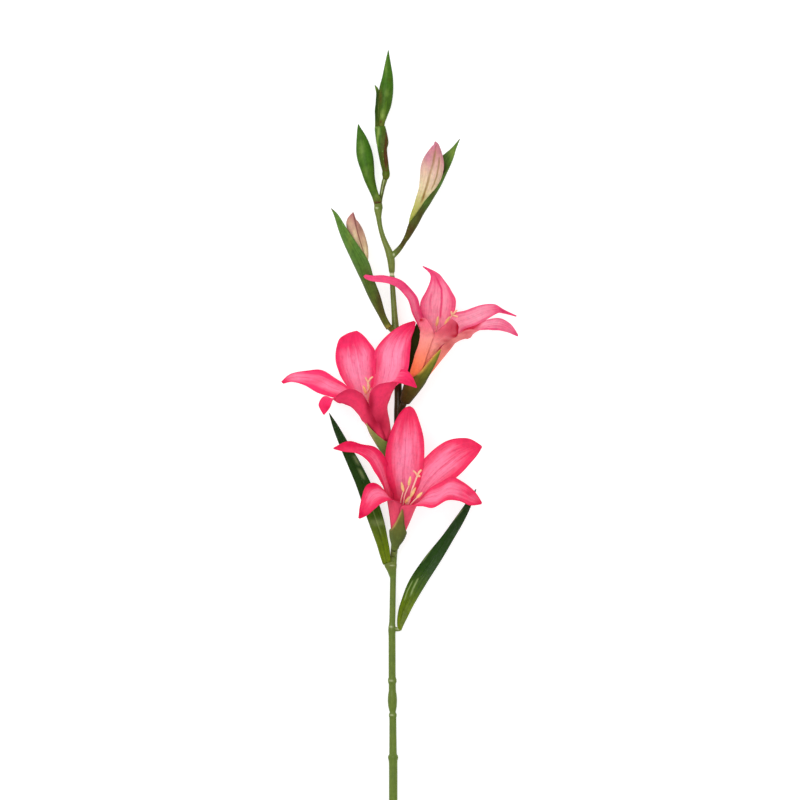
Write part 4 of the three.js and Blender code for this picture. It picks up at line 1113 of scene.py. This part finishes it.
branches = {
    "topCollar": [
        [378.9, 209, 12.2, 4, 4], [378.4, 205.6, 12.6, 4.1, 4], [377.95, 203.3, 12.8, 4.1, 4],
    ],
    "topThread": [
        [379.6, 207, 10, 1.9], [380.6, 198, 9.4, 1.9], [382.8, 187, 10.6, 2.2],
        [384.5, 180.6, 12.4, 2.6], [385.1, 179, 12.9, 2.5],
    ],
    "leftLeafCollar": [
        [393, 578, 6.3, 3], [391.8, 570.5, 6.5, 4.6], [391, 566, 6.6, 6.2, 4.6],
        [389.8, 562.4, 6.6, 6.2, 4.6],
    ],
    "rightLeafNub": [[392.5, 629, 5.7, 2.6], [397.4, 629.6, 6.2, 2.2], [400.4, 629.8, 6.6, 1.7]],
    "leftBudNub": [[396, 331.5, 11, 3.2], [391.5, 329.2, 12.4, 3.1], [388.4, 325.6, 13.6, 2.8]],
    "rightBudStalk": [
        [391, 257, 11.5, 3.4], [394.4, 253.8, 11.6, 3.1], [397.4, 250.9, 11.7, 2.9],
        [400.4, 247.3, 11.9, 2.6],
    ],
}
stemForm = {
    "step": 0.8, "sides": 28,
    "bendReach": 5, "widthReach": 0.55,  # how far bends and changes of width are rounded off
    "nub": 3.2,  # radius of a bloom's nub
    "squareEnd": 2,  # the nub's last stretch, in line with the funnel
}
branchForm = {**stemForm, "bendReach": 1.5}
stemMaterial = greenMaterial("stemPaint", {
    "stops": [
        (0.0, (100, 120, 48)), (0.5, (100, 116, 46)), (0.7, (106, 114, 48)), (1.0, (114, 126, 60)),
    ],
    "roughness": 0.45, "coat": 0.1, "count": 5.0, "run": 40.0, "streak": 0.35,
    "streakColour": (78, 102, 44), "dark": (52, 34, 12), "pale": (214, 220, 176), "depth": 0.2,
})
# Spots on the stem: a pale ring at a node, painted highlights on collars, nodes and the branch, painted
# shade between the lower bloom's cup and the leaf collar, and darker spots on the top thread and by the
# branch
stemStainsAndShading = [
    (391.9, 274.3, 6, 1.2, -1.0), (376.8, 208, 1.4, 0.7, -0.8), (393.8, 254.6, 0.9, 1.3, -0.7),
    (391.8, 565.6, 2.2, 0.6, -0.7), (391, 627, 1.6, 0.8, -0.6), (398.6, 628.6, 2.2, 1.6, -0.6),
    (399, 249, 3.2, 3.2, 0.5), (391, 681, 2, 0.8, -0.5), (391.5, 715.4, 2, 0.7, -0.5),
    (384, 187, 3, 9, 0.45), (381, 198, 3, 6, 0.45), (390.6, 554, 2.6, 9, 0.7),
]
# A painted highlight along the top thread
threadShine = [stroke(0.55, 0.0, 0.0, -0.9, (384.5, 178), (382.6, 187), (380.9, 196.5))]
# Painted shade on the stem where it lies under the blooms: how dark it is at places down the sheet
stemShade = [
    (376, 0.0), (386, 0.9), (426, 1.0), (440, 0.75), (470, 0.5), (520, 0.35), (550, 0.1), (562, 0.0),
]


def makeStem():
    draw = random.Random("gladiolus stem")
    turn = draw.uniform(0, 6)

    def fibres(along, angle):
        return 1 + 0.012 * np.cos(angle * 9 + turn) + 0.008 * np.cos(angle * 4 + 40 * along)

    shells = [stalkShell(stemRings, stemForm, fibres, tone=0.2)]
    for rings in branches.values():
        shells.append(stalkShell(rings, branchForm, tone=draw.random()))
    count = 15
    for bloom in blooms.values():
        centre, _, ahead = funnelAt(bloom["funnel"], 0)[:3]
        square = centre - ahead * (bloom["foot"] + stemForm["squareEnd"]) * mm
        ends = [place(bloom["root"]), square, centre - ahead * bloom["foot"] * mm]
        path = through(np.array(ends), np.linspace(0, 2, count))
        wide = np.full(count, stemForm["nub"] * mm)
        shells.append(tubeShell(path, wide, wide, 24, tone=draw.random()))
    # Painted shade under the blooms, then the spots and the thread's painted highlight
    level = [(sheet["down"] - down) * mm for down, _ in stemShade][::-1]
    shades = [shade for _, shade in stemShade][::-1]
    for made in shells:
        made["blush"] = np.interp(made["corners"][:, 1], level, shades)
        stain(made, stemStainsAndShading)
        crease(made, threadShine, ease(0.0, 0.35, made["across"]))
        made["corners"][:, 2] = np.maximum(made["corners"][:, 2], 0)  # pressed flat where it lies
    makePiece("flowerStalk", "stem", stemMaterial, shells)


makeStem()
print("Stem is ready")

# Leaves, with painted highlights for their gloss: pale patches and long pale streaks in shallow
# grooves, and a darker spot by the right leaf's root
leaves = {
    "leaf_left": {
        "rows": [
            [383, 565, 7.2, 390.6, 562.4, 8, 30], [379.4, 554, 7.6, 390, 552.6, 8.4, 26],
            [376, 543, 8.4, 388.4, 542, 9, 20], [366.5, 517, 9, 383, 516.5, 9.5, 12],
            [357, 488, 10, 374.5, 491, 10.5, 10], [348, 466, 11, 362.5, 466.5, 11.5, 10],
            [340, 447, 12, 350, 445.5, 12, 10], [333.5, 429.5, 12.5, 338.5, 426, 12.5, 8],
            [328.8, 413.2, 13, 329.5, 413, 13, 1],
        ],
        "stains": [(378, 522.6, 9, 3.4, -0.3), (372, 545, 5, 14, -0.12)],
        "creases": [
            stroke(1.8, 0.1, 0.0, -0.28, (353.6, 455), (359, 466)),
            stroke(1.8, 0.1, 0.0, -0.3, (358.6, 468), (364.6, 480)),
            stroke(0.7, 0.1, 0.0, -0.2, (371, 506), (382, 536)),
        ],
    },
    "leaf_right": {
        "rows": [
            [400, 630.6, 9.4, 401.4, 630.8, 9.4, 10], [397.2, 626, 9.2, 402.9, 626.8, 9, 26],
            [397.6, 615, 8.6, 407.4, 617.6, 8.6, 24], [400.4, 603, 8.4, 414.2, 604.6, 8.5, 18],
            [409.5, 580, 9, 427, 583, 9, 10], [424.5, 557.5, 9.5, 440, 562.5, 9.5, 10],
            [442, 536, 10.5, 453, 540.5, 10.5, 10], [455.5, 517.5, 11.5, 464.5, 520.5, 11.5, 8],
            [466.5, 502, 12.5, 472, 504, 12.5, 6], [475.6, 489, 13, 476.4, 489.2, 13, 1],
        ],
        "stains": [(404, 618, 5, 12, 0.3)],
        "creases": [
            stroke(0.7, 0.1, 0.0, -0.4, (463, 509), (452, 522), (440, 537)),
            stroke(0.9, 0.1, 0.0, -0.4, (446, 526), (436, 540), (427, 554)),
            stroke(0.7, 0.1, 0.0, -0.35, (432, 548), (422, 563)),
            stroke(0.9, 0.1, 0.0, -0.6, (418.4, 578), (413, 589), (410, 597)),
            stroke(0.6, 0.1, 0.0, -0.5, (413, 580), (407, 592), (404, 602)),
        ],
    },
}
leafForm = {
    "steps": 160, "columns": 44, "thick": 1.0, "thin": 0.3,
    "rib": 0.3, "ribWidth": 0.08, "keel": 0.05,
    "waves": 2.0, "wave": 0.35, "veins": 13, "vein": 0.08,
}
leafMaterial = greenMaterial("leafPaint", {
    "stops": [
        (0.0, (114, 130, 10)), (0.16, (100, 120, 10)), (0.28, (66, 94, 8)), (0.42, (34, 66, 8)),
        (1.0, (24, 52, 14)),
    ],
    "roughness": 0.22, "specular": 0.06, "mottle": 0.24, "count": 10.0, "run": 2.5, "streak": 0.4,
    # pale is the colour of the painted highlights
    "streakColour": (32, 56, 16), "dark": (24, 44, 14), "pale": (168, 186, 120), "depth": 0.2,
})


def makeLeaves():
    for node, leaf in leaves.items():
        draw = random.Random("gladiolus " + node)
        blade = bladeShell(onSheet(leaf["rows"]), leafForm, draw, tone=draw.random())
        crease(blade, leaf["creases"], blade["inner"])
        stain(blade, leaf["stains"])
        makePiece(pieceName(node), node, leafMaterial, [blade])


makeLeaves()
print("Leaves are ready")

# Buds. Lobes is how many wrapped edges show round the bud, and step how high they stand.
buds = {
    "bud_left": {
        "rings": [
            [383.4, 316, 16.4, 1.8], [377, 299, 16.8, 2.7], [370, 281, 17, 3.5],
            [364.2, 265, 17, 4.4, 4.2], [362.1, 255.4, 17, 6.5, 5.2], [360.6, 247.3, 17, 7.3, 5.5],
            [358.3, 239.3, 17, 7.6, 5.5], [355.6, 232, 17, 7.6, 5.3], [352.6, 224.5, 17, 6.5, 4.9],
            [351.8, 220.2, 17, 5, 4], [352.4, 216.2, 17, 2.8, 2.5], [353.4, 212.4, 17, 0.5],
        ],
        # The groove's darkening is painted shade where the left wrap lies over the right
        "creases": [
            stroke(
                0.6, 0.9, 0.45, 0.9, (354, 215), (355.8, 224.1), (358, 233.9), (360.7, 242.9),
                (363.4, 251.8), (367, 262),
            ),
        ],
        "stains": [
            (350, 224, 3.2, 6, -0.35), (355, 236, 2.4, 8, -0.7), (365.6, 252, 2.4, 6, -0.8),
            (360, 229, 3, 7, 0.4), (367.6, 244, 1.2, 9, 0.45),
        ],
    },
    "bud_right": {
        "rings": [
            [409.4, 231, 15.6, 1.5], [410.9, 221, 17.2, 1.9], [413.5, 214.8, 18.6, 2.9, 2.7],
            [417.6, 206.5, 20, 4, 3.7], [420.8, 199, 20.8, 5.1, 4.6], [424.4, 192, 21.2, 6.5, 5.4],
            [428, 184, 21.4, 9, 6.4], [430.6, 176, 21.5, 10.8, 7], [432.2, 168, 21.6, 11.4, 7.3],
            [433.4, 161.5, 21.8, 10.6, 6.9], [434.6, 155, 21.8, 8.3, 6], [435.6, 149, 22, 5.3, 4.3],
            [436, 145, 22, 2.8, 2.6], [434.9, 141.8, 22, 0.5],
        ],
        # The first three lines are darkened as painted shade beside the wrapped edges
        "creases": [
            stroke(
                1.15, 1.2, 0.7, 0.75, (436.8, 144.4), (435.4, 151.6), (433.2, 163.2), (430.4, 173.1),
                (427.4, 184.7), (423.9, 195.5), (420.6, 205),
            ),
            stroke(
                0.8, 0.7, 0.4, 0.75, (439.8, 156), (438.8, 165), (436.8, 176.4), (434, 184.5),
                (430.5, 191.5),
            ),
            stroke(0.6, 0.4, 0.3, 0.45, (443, 165), (441.6, 174), (438.6, 183), (434, 191)),
            stroke(0.8, -0.35, 0.0, -0.2, (436.9, 165), (434.2, 177), (430, 187), (425, 196)),
        ],
        "stains": [
            (427, 156, 4, 7, -0.75), (434.6, 146.5, 4.6, 5, -0.9), (441.6, 153, 2, 8, -0.7),
            (443.8, 167, 1.4, 9, -0.6), (429.6, 164, 2.6, 10, -0.35), (421, 166, 1.6, 6, -0.35),
            (423.6, 197, 2.4, 5, 0.3),
        ],
    },
    "bud_top": {
        "rings": [
            [381.4, 126.1, 12.6, 3.1, 2.7], [381.42, 125.2, 12.6, 3.1, 2.7],
            [382.3, 120.5, 12.6, 3.2, 3], [383.5, 115, 12.6, 4.1, 3.8], [385, 104, 12.6, 6.4, 4.8],
            [386.2, 90, 12.8, 7, 5], [387.6, 77, 13, 5.3, 4.2], [387.9, 64, 13.2, 3, 2.7],
            [388.3, 50.2, 13.4, 0.4],
        ],
        "lobes": 2,
        "step": 0.06,
        "stains": [
            (380.4, 97, 2, 8, 0.6), (380.8, 121.6, 1.6, 1.5, 0.9), (382.4, 115, 2.6, 5, -0.7),
            (387, 93, 2.6, 4, -0.3), (389.4, 80, 2, 2, 0.3), (386, 68, 1.2, 8, -0.3),
        ],
    },
    "bud_second": {
        "rings": [
            [385.25, 178.85, 13, 2.6, 2.4], [385.9, 176.4, 12.9, 3.5, 3], [386, 173.6, 12.9, 3.9, 3.3],
            [385.7, 169.8, 12.8, 3.6, 3.2], [384.4, 162.8, 12.8, 4.1, 3.5],
            [382.8, 153, 12.8, 4.5, 3.9], [382.3, 147.5, 12.7, 5, 4.2], [382.4, 142, 12.6, 6.1, 4.4],
            [380.8, 132, 12.6, 5.8, 4.2], [380.2, 128.6, 12.6, 5.5, 3.9],
            [380.05, 126.2, 12.6, 5.3, 3.6],
        ],
        "creases": [
            stroke(
                0.7, 0.5, 0.35, 0.7, (386.6, 130), (385.8, 143.7), (384.8, 152), (384.8, 160),
                (386.4, 169.5),
            ),
        ],
        "stains": [
            (384.6, 150, 5, 26, 0.5), (388.6, 140, 2, 8, 0.4), (387, 158, 1.7, 9, 0.8),
            # the pale spots at (378.6, 131.5) and (377.4, 142) are painted highlights
            (386, 170.6, 4, 0.8, 0.5), (378.6, 131.5, 1.6, 5, -1.0), (377.4, 142, 1.1, 7, -0.8),
            (382.6, 151.4, 0.7, 0.7, -1.2), (383.4, 159, 0.6, 1, -1.2), (376, 127.6, 1.6, 1.2, -0.6),
        ],
    },
    "bud_third": {
        "rings": [
            [377.9, 203.15, 12.8, 4.05, 3.6], [376.9, 199.5, 12.8, 4, 3.5],
            [375, 194.6, 12.7, 3.8, 3.3], [372.2, 187, 12.7, 4.4, 3.6], [369.3, 177.5, 12.7, 5.6, 4.2],
            [367.4, 167.9, 12.7, 6.9, 4.7], [365.5, 159, 12.8, 7.9, 5], [364, 151.4, 12.9, 7.7, 5],
            [362.6, 143.7, 13, 6.4, 4.5], [361, 136, 13.2, 4.4, 3.6], [359.2, 129, 13.3, 2.1, 1.9],
            [358.4, 124.2, 13.4, 0.4],
        ],
        "lobes": 2,
        "step": 0.05,
        "stains": [
            (378, 202.6, 6, 1.3, 1.0), (377, 196, 3, 4, -0.3), (361.5, 150, 3, 9, -0.35),
            (366, 172, 3, 5, -0.25), (374, 170, 1.2, 14, 0.25),
        ],
    },
}
budForm = {"steps": 150, "sides": 110}
topBract = {
    "rows": [
        [375.1, 126.4, 13.8, 379.6, 126.4, 9.4, 34], [374.9, 118, 13.6, 381, 118, 8.2, 35],
        [375, 109, 13.6, 381.4, 109, 7.4, 35], [375.6, 100.5, 13.4, 381, 100.5, 7.2, 32],
        [376, 93, 13.2, 379.6, 92, 8.6, 26], [375.4, 88.6, 13, 377.6, 87.6, 11, 16],
        [374.5, 84.8, 12.8, 374.9, 84.6, 12.6, 2],
    ],
    "stains": [(375.6, 124, 2.4, 3, -0.7), (378.6, 104, 1.1, 14, -1.0), (376, 88, 2, 4, -0.6)],
}
greenBudMaterial = greenMaterial("greenBudPaint", {
    "stops": [(0.0, (100, 106, 32)), (0.12, (76, 104, 22)), (0.6, (62, 104, 22)), (1.0, (70, 110, 28))],
    "roughness": 0.42, "mottle": 0.34, "count": 6.0, "run": 2.0, "streak": 0.35,
    "streakColour": (34, 66, 22), "dark": (84, 50, 22), "pale": (136, 160, 74), "depth": 0.2,
})
bractMaterial = greenMaterial("bractPaint", {
    "stops": [(0.0, (92, 92, 30)), (0.3, (80, 96, 34)), (0.6, (82, 118, 44)), (1.0, (98, 136, 54))],
    "roughness": 0.42, "mottle": 0.3, "count": 8.0, "run": 2.0, "streak": 0.35,
    "streakColour": (36, 62, 22), "dark": (70, 46, 24), "pale": (196, 186, 84), "depth": 0.2,
})
rightBudMaterial = greenMaterial("rightBudPaint", {
    "stops": [
        (0.0, (128, 150, 40)), (0.22, (152, 170, 58)), (0.33, (190, 192, 110)), (0.46, (222, 210, 166)),
        (0.64, (222, 192, 168)), (0.82, (208, 152, 148)), (1.0, (188, 98, 116)),
    ],
    "roughness": 0.5, "subsurface": 0.1, "count": 7.0, "run": 1.5, "streak": 0.3,
    "streakColour": (206, 156, 132), "dark": (150, 118, 60), "pale": (194, 122, 142), "depth": 0.15,
})
leftBudMaterial = greenMaterial("leftBudPaint", {
    "stops": [
        (0.0, (118, 110, 64)), (0.45, (164, 152, 100)), (0.62, (200, 180, 136)),
        (0.76, (204, 164, 136)), (0.88, (184, 132, 122)), (1.0, (162, 92, 98)),
    ],
    "roughness": 0.5, "subsurface": 0.1, "count": 7.0, "run": 1.5, "streak": 0.35,
    "streakColour": (158, 108, 94), "dark": (120, 70, 58), "pale": (234, 210, 164), "depth": 0.15,
})
budPaints = {
    "bud_left": (leftBudMaterial, "pink_bud"),
    "bud_right": (rightBudMaterial, "pink_bud"),
    "bud_top": (greenBudMaterial, "green_bud"),
    "bud_second": (greenBudMaterial, "green_bud"),
    "bud_third": (greenBudMaterial, "green_bud"),
}


# A closed bud, whose petals or bracts wrap over each other
def makeBuds():
    for node, bud in buds.items():
        material, slotName = budPaints[node]
        draw = random.Random("gladiolus " + node)
        turn = draw.uniform(0, 6)
        lobes, step = bud.get("lobes", 0), bud.get("step", 0.0)

        def wrapped(along, angle):
            fade = ease(0.02, 0.3, along) * ease(0, 0.15, 1 - along)
            ribs = 1 + 0.008 * np.cos(angle * 16) * fade
            turned = (angle * lobes / (2 * math.pi) + turn + 0.5 * along) % 1
            return ribs + step * (turned - 0.5) * ease(0, 0.06, turned) * fade

        made = podShell(bud["rings"], budForm["steps"], budForm["sides"], wrapped, tone=draw.random())
        crease(made, bud.get("creases", []), ease(0.0, 0.35, made["across"]))
        stain(made, bud["stains"])
        makePiece(pieceName(node), node, material, [made])
    draw = random.Random("gladiolus top bract")
    made = bladeShell(onSheet(topBract["rows"]), {**bractForm, "thick": 0.6, "veins": 5}, draw, tone=0.4)
    stain(made, topBract["stains"])
    makePiece("budTopBract", "bud_top_bract", greenBudMaterial, [made])


makeBuds()
print("Buds are ready")

# The long bracts of the two pink buds
budBracts = {
    "bud_left_bract": {
        "stalk": [[388.34, 325.52, 13.62, 2.8], [385.4, 320.6, 15.2, 2.7]],
        "blades": [
            [
                [391.2, 325.6, 16.8, 387.2, 329.8, 13.6, 76],
                [388.9, 321.4, 17.4, 383.9, 325, 13.2, 70], [385.2, 313, 19.4, 378.4, 314.6, 12.6, 58],
                [380.2, 295, 22.6, 368.4, 297, 12, 50], [374.6, 280.5, 24, 361, 281, 12.6, 42],
                [368.9, 262, 25, 352.6, 263.5, 13.5, 34], [358.6, 246, 25, 344.8, 246, 14.5, 26],
                [346.8, 228.5, 22.6, 338.4, 229.5, 16, 20], [338, 214.5, 19, 334, 215.5, 17, 12],
                [331.4, 208.2, 16, 330.8, 208.4, 16, 2],
            ],
        ],
        "stains": [
            (380, 298, 3.6, 16, 0.75), (384, 312, 3, 5, 0.4), (368, 276, 3, 8, 0.35),
            (389.8, 327.4, 3.4, 2.2, -0.8), (350, 238, 2.4, 12, -0.1), (331.4, 209, 2.5, 2.5, 0.8),
        ],
    },
    "bud_right_bract": {
        "stalk": [
            [400.46, 247.2, 11.95, 2.6], [401.9, 245.4, 12.2, 2.4], [405, 240.2, 13.2, 2.5],
            [408.3, 234.4, 14.7, 2.2], [409.2, 232.4, 15.1, 2.2],
        ],
        "blades": [
            [
                [403.4, 238.7, 13.3, 407.2, 241.3, 13.4, 80],
                [405.8, 232.8, 14.7, 410.9, 236.2, 14.9, 78],
                [409.3, 222.8, 16.8, 417.3, 225.4, 16.6, 68],
                [413.4, 212, 14.6, 423.6, 214.2, 16.4, 40], [418, 198, 12.6, 433.7, 198.5, 16.4, 28],
                [426.4, 178, 11.4, 444.6, 178, 16.6, 24], [438, 160, 12.4, 452.5, 160.5, 17, 18],
                [450.8, 148.6, 15.4, 456.4, 148.4, 18, 12], [459.4, 139, 20, 460, 139.4, 20, 2],
            ],
            [
                [407.3, 241.3, 13.5, 403.3, 238.7, 13.4, 80], [411, 236.2, 15, 405.7, 232.8, 15, 76],
                [417.5, 225.4, 16.8, 409.2, 222.6, 18.6, 62],
                [423.8, 214.2, 16.9, 416, 214.8, 22.2, 40], [429.4, 205.6, 17, 421.7, 206, 23, 34],
                [434.6, 197, 17.1, 427.9, 195.6, 22.8, 30], [440.2, 186.8, 17.2, 435.4, 185.2, 22, 24],
                [444.9, 177.4, 17.4, 441.9, 176.2, 20.6, 14], [448.4, 169.6, 17.7, 447.4, 169, 18.8, 4],
            ],
        ],
        "stains": [
            # the spots at (420, 214), (433, 193) and (444, 172) are painted shade next to the bud
            (410, 230, 6, 8, 0.8), (403, 242, 4, 6, 0.75), (420, 214, 6, 12, 0.6),
            (433, 193, 5, 14, 0.5), (444, 172, 4, 9, 0.35), (405.4, 237.8, 0.8, 0.9, -1.0),
            (409, 228.6, 0.9, 0.7, -0.9), (452.5, 153, 4, 6, -0.12), (459.6, 139.4, 2, 2.4, 0.8),
        ],
    },
}


def makeBudBracts():
    for node, given in budBracts.items():
        draw = random.Random("gladiolus " + node)
        shells = [stalkShell(given["stalk"], branchForm, tone=draw.random())]
        for rows in given["blades"]:
            shells.append(bladeShell(onSheet(rows), bractForm, draw, tone=draw.random()))
        for made in shells:
            stain(made, given["stains"])
        makePiece(pieceName(node), node, bractMaterial, shells)


makeBudBracts()
print("Bud bracts are ready")
